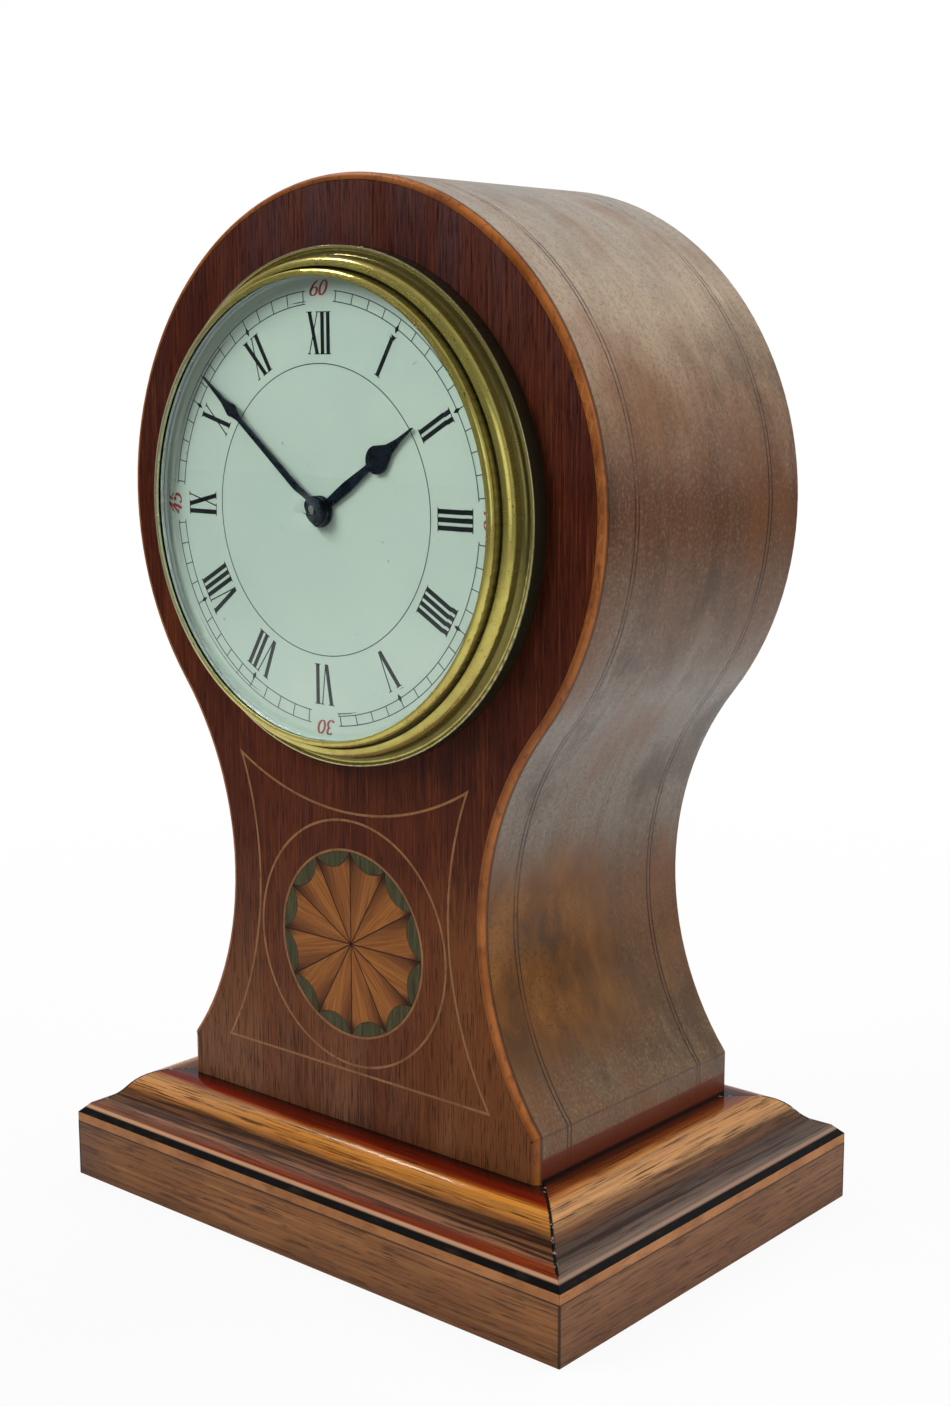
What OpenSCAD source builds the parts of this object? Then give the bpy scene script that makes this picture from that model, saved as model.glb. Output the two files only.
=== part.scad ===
// Balloon mantel clock: inlaid mahogany case on a moulded base, with a round eight-day movement
// Millimetres. The front faces -Y, +X is to the right, +Z is up; the origin is the middle of the underside.

/* [Base] */
// Width of the plinth
base_w = 151; // [140:1:170]
// Depth of the plinth
base_d = 110; // [106:1:130]
// Height of the plinth's upright face
plinth_h = 15.9; // [10:0.1:24]
// Height of the ebonised band above it
band_h = 2.3; // [1.5:0.1:4]
// Depth of the ebonised strips
band_w = 4.5; // [4.2:0.1:8]
// Height of the boxwood crossband at the top of the plinth's face
crossband_h = 2.2; // [1:0.1:4]
// Depth that the crossband is let in
crossband_t = 1; // [0.6:0.1:2]
// Height of the ogee moulding above the band
moulding_h = 8; // [6:0.1:9.5]
// Radius of the moulding's hollow
hollow_r = 11; // [9:0.1:12]
// Radius of the moulding's crown
crown_r = 9.7; // [8:0.1:10.5]
// Slope of the moulding's lip in degrees
lip_slope = 13; // [5:1:20]
// Width of the mitred moulding
moulding_w = 24; // [22:0.5:28]

/* [Case] */
// Depth of the case
case_d = 71; // [66:0.5:80]
// Radius of the round head
head_r = 70; // [66:0.5:80]
// Height of the head's centre above the base
head_up = 141.4; // [134:0.2:160]
// Width at the waist
waist_w = 77.6; // [72:0.2:90]
// Height of the waist above the base
waist_up = 53.6; // [50:0.2:60]
// Width of the foot
foot_w = 107.8; // [100:0.2:112]
// Thickness of the front and back boards
board_t = 10.5; // [9:0.1:13]
// Thickness of the bent side walls
wall_t = 5; // [3:0.1:8]
// Thickness of the case floor
floor_t = 7; // [5:0.1:8]
// Thickness of the front veneer and of the inlay
veneer_t = 0.9; // [0.5:0.1:1.5]
// Radius of the rounded boxwood string along the front edge
string_w = 1.6; // [1.2:0.1:3]

/* [Inlay] */
// Width of the fine boxwood lines
line_w = 0.55; // [0.4:0.05:1.2]
// Distance of the panel's line from the waist
frame_inset = 9.4; // [7:0.1:12]
// Radius of the panel's top line about the dial's axis
frame_top_r = 67.2; // [64:0.1:70]
// Height of the panel's bottom line above the base
frame_up = 12.4; // [9:0.1:16]
// Height of the patera's centre above the base
patera_up = 42.7; // [38:0.1:46]
// Gap between the round line about the patera and the panel's line
circle_gap = 0.7; // [0.3:0.1:4]
// Outer radius of the patera's border
patera_r = 21.9; // [18:0.1:24]
// Width of the patera's border
border_w = 0.6; // [0.4:0.1:2]
// Number of petals in the patera
petals = 12; // [8:1:16]
// Radius of the patera at the middle of a petal's end
petal_r = 17.9; // [15:0.1:18.5]
// Width of a petal's point at the border
point_w = 0.5; // [0.3:0.1:1]
// Width of the glue line between inlaid pieces
glue_line = 0.1; // [0.05:0.01:0.15]

/* [Dial and bezel] */
// Height of the dial's axis above the base
axis_up = 140.4; // [136:0.2:145]
// Radius of the dial
dial_r = 49.8; // [48:0.1:52]
// Thickness of the dial
dial_t = 1.6; // [1:0.1:2.5]
// Distance that the dial's face stands in front of the case
dial_proud = 6.3; // [5.5:0.1:7.5]
// Width of the bezel's moulded ring
bezel_w = 5.8; // [5.6:0.1:8]
// Height of the bezel's outer rim
rim_h = 4; // [3.5:0.1:5]
// Radius of the bead on the rim
bead_r = 0.45; // [0.3:0.05:0.5]
// Radius of the bezel's cove
cove_r = 1.6; // [1.2:0.1:1.7]
// Height of the bezel's round band above its rim
round_up = 2.2; // [1.8:0.1:2.6]
// Radius of the bezel's round band
round_r = 2.1; // [1.6:0.1:2.2]
// Width of the lip that holds the glass
lip_w = 1.5; // [1.3:0.1:1.6]
// Height of that lip in front of the glass
lip_t = 2.1; // [1.4:0.1:2.5]
// Width that the lip covers the glass
lip_cover = 0.8; // [0.5:0.1:1.2]
// Thickness of the glass at its edge
glass_edge = 1.2; // [0.8:0.1:1.6]
// Thickness of the glass at its middle
glass_t = 2; // [1.6:0.1:2.4]
// Rise of the domed glass
glass_rise = 4.3; // [4:0.1:6]
// Width of the bevel on the glass
bevel_w = 5.6; // [3:0.1:7]
// Height of the ring between dial and glass
sight_h = 1.4; // [1:0.1:2]

/* [Hands] */
// Length of the hour hand
hour_len = 32.3; // [28:0.1:34]
// Length of the minute hand
minute_len = 44.7; // [40:0.1:46]
// Radius of the hands' bosses
boss_r = 3.4; // [3.1:0.1:4]
// Thickness of the hands
hand_t = 0.6; // [0.4:0.05:0.7]
// Angle of the hour hand from twelve
hour_at = 55.7; // [0:0.1:360]
// Angle of the minute hand from twelve
minute_at = 309; // [0:1:360]

/* [Movement] */
// Thickness of the movement's front plate
front_plate_t = 2.5; // [2:0.1:3]
// Thickness of the movement's back plate
back_plate_t = 2; // [1.5:0.1:3]
// Space between the plates
plate_gap = 27.5; // [27:0.1:30]
// Radius of the back plate
back_plate_r = 41; // [40:0.1:41.5]
// Radius of the pillars
pillar_r = 2.2; // [1.8:0.1:2.4]
// Distance of the barrel below the centre
barrel_down = 22; // [21.8:0.1:22.4]
// Module of the barrel's teeth
barrel_m = 0.5; // [0.49:0.005:0.505]
// Module of the teeth between the intermediate wheel and the centre
inter_m = 0.4; // [0.39:0.005:0.41]
// Module of the centre wheel's teeth
centre_m = 0.4; // [0.39:0.005:0.41]
// Module of the third wheel's teeth
third_m = 0.35; // [0.34:0.005:0.36]
// Module of the fourth wheel's teeth
fourth_m = 0.3; // [0.29:0.005:0.31]
// Module of the minute wheel's teeth
minute_m = 0.5; // [0.49:0.005:0.51]
// Radius of the train's pivots
pivot_r = 0.6; // [0.5:0.05:0.7]
// Radius of the train's arbors
arbor_r = 1; // [0.9:0.05:1.2]
// Radius of the winding arbor
wind_r = 2; // [1.8:0.05:2.1]
// Width across the winding square
square_w = 2.6; // [2.2:0.1:2.8]
// Reach of the winding square and of the setting knob behind the back plate
reach = 15.5; // [12:0.1:20]
// Radius of the setting knob
knob_r = 5.5; // [4.5:0.1:7]

/* [Escapement] */
// Radius of the balance
balance_r = 6.8; // [6.4:0.1:7]
// Distance of the lever's pivot from the escape wheel
lever_at = 5.6; // [5.5:0.05:5.8]
// Distance of the balance from the escape wheel
balance_at = 13; // [12.8:0.1:13.2]
// Radius of the escape wheel
escape_r = 4.2; // [4:0.05:4.3]
// Half the width of the platform
platform_hw = 9.5; // [9:0.1:10]

/* [Back] */
// Outer radius of the rear ring
rear_r = 54; // [52:0.1:56]
// Inner radius of the rear ring
rear_in_r = 40; // [38:0.1:40.5]
// Thickness of the rear ring
rear_t = 1.5; // [1.2:0.1:2]
// Radius of the rear door
door_r = 42.2; // [41.5:0.1:42.4]
// Thickness of the rear door
door_t = 1; // [0.8:0.1:1.4]
// Radius of the clamp screws
clamp_r = 1.5; // [1.2:0.1:1.6]

/* [Fits] */
// Radial clearance of a shaft in its hole
run_gap = 0.05; // [0.02:0.01:0.08]
// Clearance of a piece that is pushed in
push_gap = 0.03; // [0.02:0.01:0.05]
// Clearance between loosely nested pieces
loose_gap = 0.1; // [0.05:0.01:0.2]
// End play of the arbors
end_play = 0.15; // [0.1:0.01:0.25]

/* [Hidden] */
$fn = 96;
fine = 360;

// Colours
mahogany = "#5a2a1e";
side_wood = "#7a5036";
boxwood = "#d09a52";
ebony = "#17120f";
brass = "#b8963e";
steel = "#8d9096";
blued = "#1f2c3c";

// Heights
base_h = plinth_h + band_h + moulding_h;
head_z = base_h + head_up;
waist_z = base_h + waist_up;
axis_z = base_h + axis_up;
patera_z = base_h + patera_up;

// Outline of the case: a round head that runs into hollow sides, above an upright foot
waist_drop = head_z - waist_z;
waist_h = waist_w / 2;
waist_r = (waist_h ^ 2 + waist_drop ^ 2 - head_r ^ 2) / (2 * (head_r - waist_h));
waist_x = waist_h + waist_r;

// Radius of the round line, which stays inside the panel's sides and bottom line
panel_side = norm([waist_x, patera_up - waist_up]) - waist_r - frame_inset;
circle_r = min(panel_side, patera_up - frame_up) - line_w - circle_gap;

// Places along the depth
front_y = -case_d / 2;
back_y = case_d / 2;
frame_gap = 2;
plate_y0 = front_y + frame_gap;
plate_y1 = plate_y0 + front_plate_t;
rear_plate_y0 = plate_y1 + plate_gap;
rear_plate_y1 = rear_plate_y0 + back_plate_t;

// Radii about the dial's axis
glass_r = dial_r + push_gap;
bezel_gap = 0.3;
bore_r = dial_r + bezel_gap;
tube_r = bore_r - loose_gap;
tube_t = 2;
tube_in_r = tube_r - tube_t;
bezel_r = bore_r + bezel_w;
rim_t = 1.3;
flange_r = bezel_r - rim_t;
lip_r = bore_r - lip_cover;
opening_gap = 0.5;
opening_r = tube_r + opening_gap;
clamp_c = tube_in_r - clamp_r - 0.6;
front_plate_r = clamp_c - clamp_r - 0.7;
shoulder_r = front_plate_r - 2.7;
rear_opening_r = clamp_c + clamp_r + 1.6;
foot_c = shoulder_r - 2.5;

// Distances in front of the case
dial_back = dial_proud - dial_t;
glass_back = dial_proud + sight_h;
glass_front = glass_back + glass_edge;
flange_t = 1;

// Teeth of the going train and of the motion work
barrel_n = 72;
inter_leaves = 12;
wheel_n = 80;
leaves = 10;
third_n = 75;
fourth_n = 70;
escape_leaves = 7;
cannon_leaves = 12;
minute_n = 36;
hour_n = 40;
escape_n = 15;
ratchet_n = 24;

// Distances between the arbors
function mesh(a, b, m) = (a + b) * m / 2;
function polar(p, angle, d) = p + d * [cos(angle), sin(angle)];
function sided(s, p) = [s * p[0], p[1]];
function angle_of(p, q) = atan2(q[1] - p[1], q[0] - p[0]);
function meet(p, a, q, b) =
    let (d = norm(q - p), along = (a ^ 2 - b ^ 2 + d ^ 2) / (2 * d), up = sqrt(a ^ 2 - along ^ 2))
    polar(polar(p, angle_of(p, q), along), angle_of(p, q) + 90, up);
centre_p = [0, 0];
barrel_p = [0, -barrel_down];
inter_p = meet(centre_p, mesh(wheel_n, leaves, inter_m), barrel_p, mesh(barrel_n, inter_leaves, barrel_m));
third_p = polar(centre_p, 150, mesh(wheel_n, leaves, centre_m));
fourth_p = polar(third_p, 38.7, mesh(third_n, leaves, third_m));
escape_p = polar(fourth_p, 20, mesh(fourth_n, escape_leaves, fourth_m));
motion_d = mesh(cannon_leaves, minute_n, minute_m);
hour_m = 2 * motion_d / (hour_n + leaves);
minute_p = polar(centre_p, 220.5, motion_d);
setting_p = polar(minute_p, 171.4, motion_d);
arbors = [inter_p, centre_p, third_p, fourth_p, escape_p, setting_p];
pillar_c = back_plate_r - pillar_r - 2.3;
pillar_ps = [for (a = [15, 75, 150, 210, 305]) polar(centre_p, a, pillar_c)];
plate_screw_ps = [for (a = [90, 210, 330]) polar(centre_p, a, (shoulder_r + front_plate_r) / 2)];
dial_foot_ps = [for (a = [60, 180, 300]) polar(centre_p, a, foot_c)];
clamp_ps = [for (a = [60, 240]) polar(centre_p, a, clamp_c)];
click_p = polar(barrel_p, 130, 12);

// Turns of the teeth, so that each wheel is in mesh with the next at rest
function in_mesh(angle, turn, a, b) = angle + 180 + ((angle - turn) * a / 360 - 0.5) * 360 / b;
inter_pinion_turn = in_mesh(angle_of(barrel_p, inter_p), 0, barrel_n, inter_leaves);
centre_pinion_turn = in_mesh(angle_of(inter_p, centre_p), 0, wheel_n, leaves);
third_pinion_turn = in_mesh(angle_of(centre_p, third_p), 0, wheel_n, leaves);
fourth_pinion_turn = in_mesh(angle_of(third_p, fourth_p), 0, third_n, leaves);
escape_pinion_turn = in_mesh(angle_of(fourth_p, escape_p), 0, fourth_n, escape_leaves);
cannon_turn = in_mesh(angle_of(minute_p, centre_p), 0, minute_n, cannon_leaves);
setting_turn = in_mesh(angle_of(minute_p, setting_p), 0, minute_n, cannon_leaves);
minute_pinion_turn = in_mesh(angle_of(centre_p, minute_p), 0, hour_n, leaves);

// Layers behind the front plate's inner face
wind_pivot_r = wind_r - 0.5;
plate_screw_r = 1;
platform_screw_r = 0.7;
barrel_y0 = plate_y1 + 1.2;
barrel_h = 15.6;
barrel_y1 = barrel_y0 + barrel_h;
barrel_wall = 1.2;
barrel_body_r = 17.2;
cap_t = 1;
tooth_h = 2.5;
wheel_t = 1.2;
inter_y = barrel_y1 + 2;
centre_y = inter_y + 3;
third_y = plate_y1 + 9;
fourth_y = rear_plate_y0 - 2.9;
pinion_over = 0.8;

// Layers of the motion work in front of the front plate
minute_wheel_y = plate_y0 - 1.6;
hour_wheel_y = plate_y0 - 3.2;
cannon_r = 1.5;
pipe_r = 2.4;
hand_gap = 0.3;
hour_boss_y = front_y - dial_proud - hand_gap;
minute_boss_y = hour_boss_y - hand_t - hand_gap;
cannon_end_y = minute_boss_y - hand_t;
collet_t = 1;
post_r = pivot_r + 0.3;
centre_end_y = cannon_end_y - loose_gap - collet_t - 0.5;

// Layers of the escapement behind the platform
platform_t = 1.4;
platform_y = rear_plate_y1 + platform_t;
platform_turn = -26.3;
lever_y = platform_y + 0.7;
pallet_cock_y = platform_y + 2.1;
roller_y = platform_y + 2;
balance_y = platform_y + 3.4;
hairspring_y = platform_y + 5.2;
cock_y = platform_y + 6.4;
cock_t = 1.2;
index_y = cock_y + cock_t + loose_gap;
staff_r = 0.5;

// Places at the back
ring_y = back_y + rear_t;
hinge_r = 1.3;
hinge_pin_r = 0.7;
hinge_x = door_r + 2.4;
hinge_y = ring_y + hinge_r + 0.3;
door_y0 = ring_y + 0.2;
knuckle_l = 6;
knuckle_gap = 0.3;
reach_y = rear_plate_y1 + reach;

// Extrudes an outline drawn across and up the front, from y0 back to y1
module slab(y0, y1) translate([0, y1, 0]) rotate([90, 0, 0]) linear_extrude(y1 - y0) children();

// Moves an outline to a place about the dial's axis
module at(p) translate([p[0], axis_z + p[1]]) children();

// Round bar along the depth
module rod(p, r, y0, y1) slab(y0, y1) at(p) circle(r);

// Turns a profile of radius and distance in front of y about an axis along the depth
module spun(p, y)
    translate([p[0], y, axis_z + p[1]]) rotate([90, 0, 0]) rotate_extrude($fn = fine) children();

// Hole along the depth that runs out past both faces
cut = 1;
module hole(p, r, y0, y1) rod(p, r, y0 - cut, y1 + cut);

// Ring between two radii, and the quarter of a disc
module ring(r, r_in) difference() { circle(r); circle(r_in); }
module quarter(r) intersection() { circle(r); square(r); }

// Teeth: points at the root, the pitch circle and the tip of each tooth
function tooth_points(n, turn, radii, widths) =
    [for (i = [0 : n - 1], k = [0 : 5])
        let (j = k < 3 ? k : 5 - k, side = k < 3 ? -1 : 1, a = turn + (i + side * widths[j] / 2) * 360 / n)
        radii[j] * [cos(a), sin(a)]];
module wheel_teeth(n, m, turn = 0)
    polygon(tooth_points(n, turn, m * [n / 2 - 1.25, n / 2, n / 2 + 0.9], [0.5, 0.42, 0.14]));
module pinion_teeth(n, m, turn)
    polygon(tooth_points(n, turn, m * [n / 2 - 1.35, n / 2, n / 2 + 0.7], [0.3, 0.34, 0.14]));

// Toothed wheel with crossed spokes
spoke_w = 1.8;
module crossed_wheel(n, m, hub_r, turn = 0) {
    window_r = m * (n / 2 - 1.25) - 1.4;
    difference() {
        wheel_teeth(n, m, turn);
        difference() {
            ring(window_r, hub_r);
            for (a = [45, 135]) rotate(a) square([2 * window_r, spoke_w], center = true);
        }
    }
}

// Arbor between the plates, with a pivot in each
module arbor(p) {
    rod(p, arbor_r, plate_y1 + end_play, rear_plate_y0 - end_play);
    rod(p, pivot_r, plate_y0, rear_plate_y1);
}

// Wheel with its pinion on an arbor
module wheel_layer(p, y) slab(y, y + wheel_t) at(p) children();
module pinion_layer(p, y) slab(y - pinion_over, y + wheel_t + pinion_over) at(p) children();

// Outline of the case, drawn in by inset, with its bottom lowered by drop
function foot_corner(inset) =
    let (x = foot_w / 2 - inset) [x, waist_z - sqrt((waist_r + inset) ^ 2 - (waist_x - x) ^ 2)];
module balloon(inset = 0, drop = 0) {
    foot_h = foot_corner(inset)[0];
    foot_z = foot_corner(inset)[1];
    to_waist = atan2(-waist_drop, waist_x);
    join_x = (head_r - inset) * cos(to_waist);
    join_z = head_z + (head_r - inset) * sin(to_waist);
    union() {
        translate([0, head_z]) circle(head_r - inset, $fn = fine);
        difference() {
            polygon([[-foot_h, base_h - drop], [foot_h, base_h - drop], [foot_h, foot_z], [join_x, join_z],
                [-join_x, join_z], [-foot_h, foot_z]]);
            for (s = [-1, 1]) translate([s * waist_x, waist_z]) circle(waist_r + inset, $fn = fine);
        }
    }
}

// One mitred length along the front of a base of width w and depth d, from a profile of inset and height
mitre_gap = 0.05;
module mitred_length(w, d, inset) intersection() {
    translate([-w / 2, -d / 2, 0]) rotate([90, 0, 90]) linear_extrude(w) children();
    linear_extrude(base_h) polygon([[mitre_gap - w / 2, -d / 2], [w / 2 - mitre_gap, -d / 2],
        [w / 2 - mitre_gap - inset, inset - d / 2], [mitre_gap - w / 2 + inset, inset - d / 2]]);
}

// Mitred frame of four lengths round the base
module mitred(inset) {
    for (a = [0, 180]) rotate(a) mitred_length(base_w, base_d, inset) children();
    for (a = [90, 270]) rotate(a) mitred_length(base_d, base_w, inset) children();
}

// Base
screw_x = 30;
screw_r = 1.6;
screw_head_r = 3.6;
screw_head_t = 2.5;
screw_sink = 4;
screw_bite = 4.5;
module block(inset, z0, z1)
    translate([inset - base_w / 2, inset - base_d / 2, z0])
        cube([base_w - 2 * inset, base_d - 2 * inset, z1 - z0]);
module plinth() color(side_wood) difference() {
    union() {
        block(0, 0, plinth_h - crossband_h);
        block(crossband_t, plinth_h - crossband_h, plinth_h);
        block(band_w, plinth_h, plinth_h + band_h);
        block(moulding_w, plinth_h + band_h, base_h);
    }
    for (s = [-1, 1]) translate([s * screw_x, 0, 0]) {
        translate([0, 0, -1]) cylinder(r = screw_head_r + loose_gap, h = screw_sink + screw_head_t + 1);
        cylinder(r = screw_r + loose_gap, h = base_h + 1);
    }
}
module crossband() color(boxwood) mitred(crossband_t)
    translate([0, plinth_h - crossband_h]) square([crossband_t, crossband_h]);
module ebonised_band() color(ebony) mitred(band_w)
    polygon([[0, plinth_h], [band_w, plinth_h], [band_w, plinth_h + band_h], [band_h, plinth_h + band_h]]);
// The moulding's hollow and crown are two arcs that meet in one slope
ogee_a = acos((hollow_r * cos(lip_slope) + crown_r - moulding_h) / (hollow_r + crown_r));
module base_moulding() color(side_wood) mitred(moulding_w) {
    lip = [band_h, plinth_h + band_h];
    hollow_c = lip + hollow_r * [-sin(lip_slope), cos(lip_slope)];
    turn_at = hollow_c + hollow_r * [sin(ogee_a), -cos(ogee_a)];
    crown_c = turn_at + crown_r * [sin(ogee_a), -cos(ogee_a)];
    crown_h = base_h - turn_at[1];
    difference() {
        polygon([lip, [moulding_w, lip[1]], [moulding_w, turn_at[1]], turn_at]);
        translate(hollow_c) circle(hollow_r);
    }
    intersection() {
        translate(crown_c) circle(crown_r);
        translate(turn_at) square([crown_c[0] - turn_at[0], crown_h]);
    }
    translate([crown_c[0], turn_at[1]]) square([moulding_w - crown_c[0], crown_h]);
}
module base_screws() color(steel) for (s = [-1, 1]) translate([s * screw_x, 0, screw_sink]) difference() {
    union() {
        cylinder(r = screw_head_r, h = screw_head_t);
        cylinder(r = screw_r, h = base_h - screw_sink + screw_bite);
    }
    translate([-screw_head_r, -0.5, -1]) cube([2 * screw_head_r, 1, 2]);
}

// Case
module case_floor() color(side_wood) difference() {
    slab(front_y + board_t, back_y - board_t) intersection() {
        balloon(wall_t);
        translate([-foot_w / 2, base_h]) square([foot_w, floor_t]);
    }
    for (s = [-1, 1]) translate([s * screw_x, 0, base_h - 1])
        cylinder(r = screw_r + loose_gap, h = screw_bite + 1.5);
}
module front_board() color(mahogany) difference() {
    slab(front_y + veneer_t, front_y + board_t) balloon();
    slab(front_y, front_y + string_w) difference() {
        balloon(-cut, cut);
        balloon(string_w + glue_line, 2 * cut);
    }
    slab(front_y, front_y + board_t + 1) at(centre_p) circle(opening_r);
}
module back_board() color(side_wood) slab(back_y - board_t, back_y) difference() {
    balloon();
    at(centre_p) circle(rear_opening_r);
}
module side_wall(side) color(side_wood) intersection() {
    slab(front_y + board_t, back_y - board_t) difference() {
        balloon();
        balloon(wall_t, 1);
    }
    translate([side < 0 ? -2 * head_r : 0, -case_d, 0]) cube([2 * head_r, 2 * case_d, head_z + 2 * head_r]);
}
module side_wall_left() side_wall(-1);
module side_wall_right() side_wall(1);

// Inlay of the front
module panel(grow) difference() {
    translate([-foot_w / 2, base_h + frame_up - grow]) square([foot_w, axis_up - frame_up]);
    for (s = [-1, 1]) translate([s * waist_x, waist_z]) circle(waist_r + frame_inset - grow, $fn = fine);
    at(centre_p) circle(frame_top_r - grow, $fn = fine);
    translate([-foot_w, axis_z]) square(2 * foot_w);
}
module panel_line() difference() { panel(0); panel(-line_w); }
module at_patera() translate([0, patera_z]) children();
module inlay() slab(front_y, front_y + veneer_t) children();

// Rounded string in a rabbet along the front edge: bent lengths round head and waist, short ones at the foot
module string_bend(p, r, turn, from, to)
    translate([p[0], front_y + string_w, p[1]]) rotate([90, 0, 0]) rotate(from)
        rotate_extrude(angle = to - from, $fn = fine) translate([r, 0]) rotate(turn) quarter(string_w);
module edge_stringing() color(boxwood) {
    corner = foot_corner(0);
    waist_c = [waist_x, waist_z];
    head_c = [0, head_z];
    to_foot = angle_of(waist_c, corner) + 360;
    string_bend(head_c, head_r - string_w, 0, angle_of(head_c, waist_c), 180 - angle_of(head_c, waist_c));
    string_bend(waist_c, waist_r + string_w, 90, angle_of(waist_c, head_c), to_foot);
    string_bend(sided(-1, waist_c), waist_r + string_w, 90, 180 - to_foot, 180 - angle_of(waist_c, head_c));
    for (s = [-1, 1]) intersection() {
        translate([s * (corner[0] - string_w), front_y + string_w, base_h])
            linear_extrude(corner[1] - base_h) rotate(s < 0 ? 180 : -90) quarter(string_w);
        slab(front_y, front_y + string_w) translate([0, -glue_line])
            polygon([for (p = [polar(waist_c, to_foot, waist_r - string_w), [corner[0], base_h],
                [corner[0] - string_w, base_h], polar(waist_c, to_foot, waist_r + 2 * string_w)]) sided(s, p)]);
    }
}
module panel_stringing() color(boxwood) inlay() panel_line();
module circle_stringing() color(boxwood) inlay() at_patera() ring(circle_r, circle_r - line_w);
module front_veneer() color(mahogany) inlay() difference() {
    balloon(string_w + glue_line);
    at(centre_p) circle(opening_r);
    panel_line();
    at_patera() {
        ring(circle_r, circle_r - line_w);
        circle(patera_r);
    }
}
module patera_border() color(boxwood) inlay() at_patera() ring(patera_r, patera_r - border_w);

// A hollow petal end is an arc through the petal's middle and the edges of its two points
field_r = patera_r - border_w - glue_line;
petal_step = 360 / petals;
half_end = field_r * sin(petal_step / 2) - point_w / 2;
end_at = sqrt(field_r ^ 2 - half_end ^ 2);
end_sag = end_at - petal_r;
end_r = (half_end ^ 2 + end_sag ^ 2) / (2 * end_sag);
module petal_end(grow) translate([petal_r + end_r, 0]) circle(end_r + grow);
module each_petal() for (i = [0 : petals - 1]) rotate((i + 0.5) * petal_step) children();
module patera_petals() color("#c07c36") inlay() at_patera() each_petal()
    difference() {
        intersection() {
            circle(field_r);
            polygon([[glue_line, 0], polar([glue_line, 0], -petal_step / 2, 2 * field_r),
                polar([glue_line, 0], petal_step / 2, 2 * field_r)]);
        }
        petal_end(glue_line);
    }
module patera_scallops() color("#5f6440") inlay() at_patera() each_petal()
    intersection() {
        circle(field_r);
        petal_end(0);
    }

// Bezel, glass and dial
module movement_ring() color(brass) difference() {
    spun(centre_p, front_y) {
        translate([tube_in_r, 0.5 - board_t]) square([tube_r - tube_in_r, board_t - 0.5 + dial_back]);
        translate([tube_in_r, 0]) square([flange_r - tube_in_r, flange_t]);
        translate([shoulder_r, -frame_gap]) square([tube_r - shoulder_r, frame_gap + flange_t]);
    }
    for (p = clamp_ps) rod(p, clamp_r + push_gap, front_y - flange_t, front_y + board_t);
    for (p = plate_screw_ps) hole(p, plate_screw_r + push_gap, front_y - flange_t, plate_y0);
}
lip_round = 1.1;
groove_d = 0.4;
module bezel() color(brass) spun(centre_p, front_y) {
    quirk_h = rim_h - bead_r;
    cove_out = bezel_r - 2 * bead_r;
    round_out = cove_out - cove_r;
    round_in = round_out - round_r;
    round_h = rim_h + round_up;
    lip_out = lip_r + lip_w;
    difference() {
        union() {
            translate([bore_r, 0]) square([bezel_r - bore_r, quirk_h]);
            translate([bezel_r - bead_r, quirk_h]) circle(bead_r);
            difference() {
                translate([round_out, quirk_h]) square(cove_r);
                translate([cove_out, quirk_h + cove_r]) circle(cove_r);
            }
            translate([bore_r, 0]) square([round_out - bore_r, round_h]);
            translate([round_in, round_h]) quarter(round_r);
            translate([bore_r, 0]) square([round_in - bore_r, round_h + round_r - groove_d]);
            translate([bore_r, 0]) square([lip_out - bore_r, glass_front]);
            translate([lip_r, glass_front]) square([lip_w, lip_t - lip_round]);
            translate([lip_r, glass_front]) square([lip_w - lip_round, lip_t]);
            translate([lip_out - lip_round, glass_front + lip_t - lip_round]) quarter(lip_round);
        }
        translate([0, -cut]) square([flange_r + loose_gap, flange_t + cut]);
        translate([0, -cut]) square([bore_r, glass_front + cut]);
    }
}
module bezel_glass() color("#cfe3dd", 0.35) spun(centre_p, front_y) {
    middle_back = glass_back + glass_rise;
    middle_front = middle_back + glass_t;
    back_r = (glass_r ^ 2 + glass_rise ^ 2) / (2 * glass_rise);
    flat_r = lip_r - bevel_w;
    front_sag = back_r + glass_t - sqrt((back_r + glass_t) ^ 2 - flat_r ^ 2);
    difference() {
        intersection() {
            translate([0, glass_back]) square([glass_r, glass_rise + 2 * glass_t]);
            translate([0, middle_back - back_r]) circle(back_r + glass_t, $fn = 4 * fine);
        }
        translate([0, middle_back - back_r]) circle(back_r, $fn = 4 * fine);
        polygon([[flat_r, middle_front - front_sag], [lip_r, glass_front], [glass_r + 1, glass_front],
            [glass_r + 1, middle_front], [flat_r, middle_front]]);
    }
}
module sight_ring() color(brass) spun(centre_p, front_y)
    translate([lip_r, dial_proud]) square([glass_r - lip_r, sight_h]);
module dial() color("#e4ebe2") {
    slab(front_y - dial_proud, front_y - dial_back) at(centre_p) ring(dial_r, pipe_r + 0.8);
    for (p = dial_foot_ps) {
        rod(p, 1.4, front_y - dial_back, plate_y0);
        rod(p, pivot_r, plate_y0, plate_y1);
    }
}

// Hands: a stem, a spade and a hollow-sided point, each given by its right half
function both_sides(half) = concat(half, [for (i = [len(half) - 1 : -1 : 0]) sided(-1, half[i])]);
module hour_outline() {
    spade_at = 0.63 * hour_len;
    circle(boss_r);
    polygon(both_sides([[0.9, 0], [1.2, 0.3 * hour_len], [0.5, spade_at]]));
    translate([0, spade_at]) circle(3);
    polygon(both_sides([[2.5, spade_at + 1.6], [1.1, 0.76 * hour_len], [0.45, 0.86 * hour_len],
        [0.1, hour_len]]));
}
module minute_outline() {
    spade_at = 0.745 * minute_len;
    circle(boss_r - 0.2);
    polygon(both_sides([[0.8, 0], [0.5, 0.68 * minute_len], [1.35, spade_at]]));
    translate([0, spade_at]) circle(1.45);
    polygon(both_sides([[1.35, spade_at + 0.5], [0.6, 0.82 * minute_len], [0.35, 0.9 * minute_len],
        [0.1, minute_len]]));
}
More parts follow.
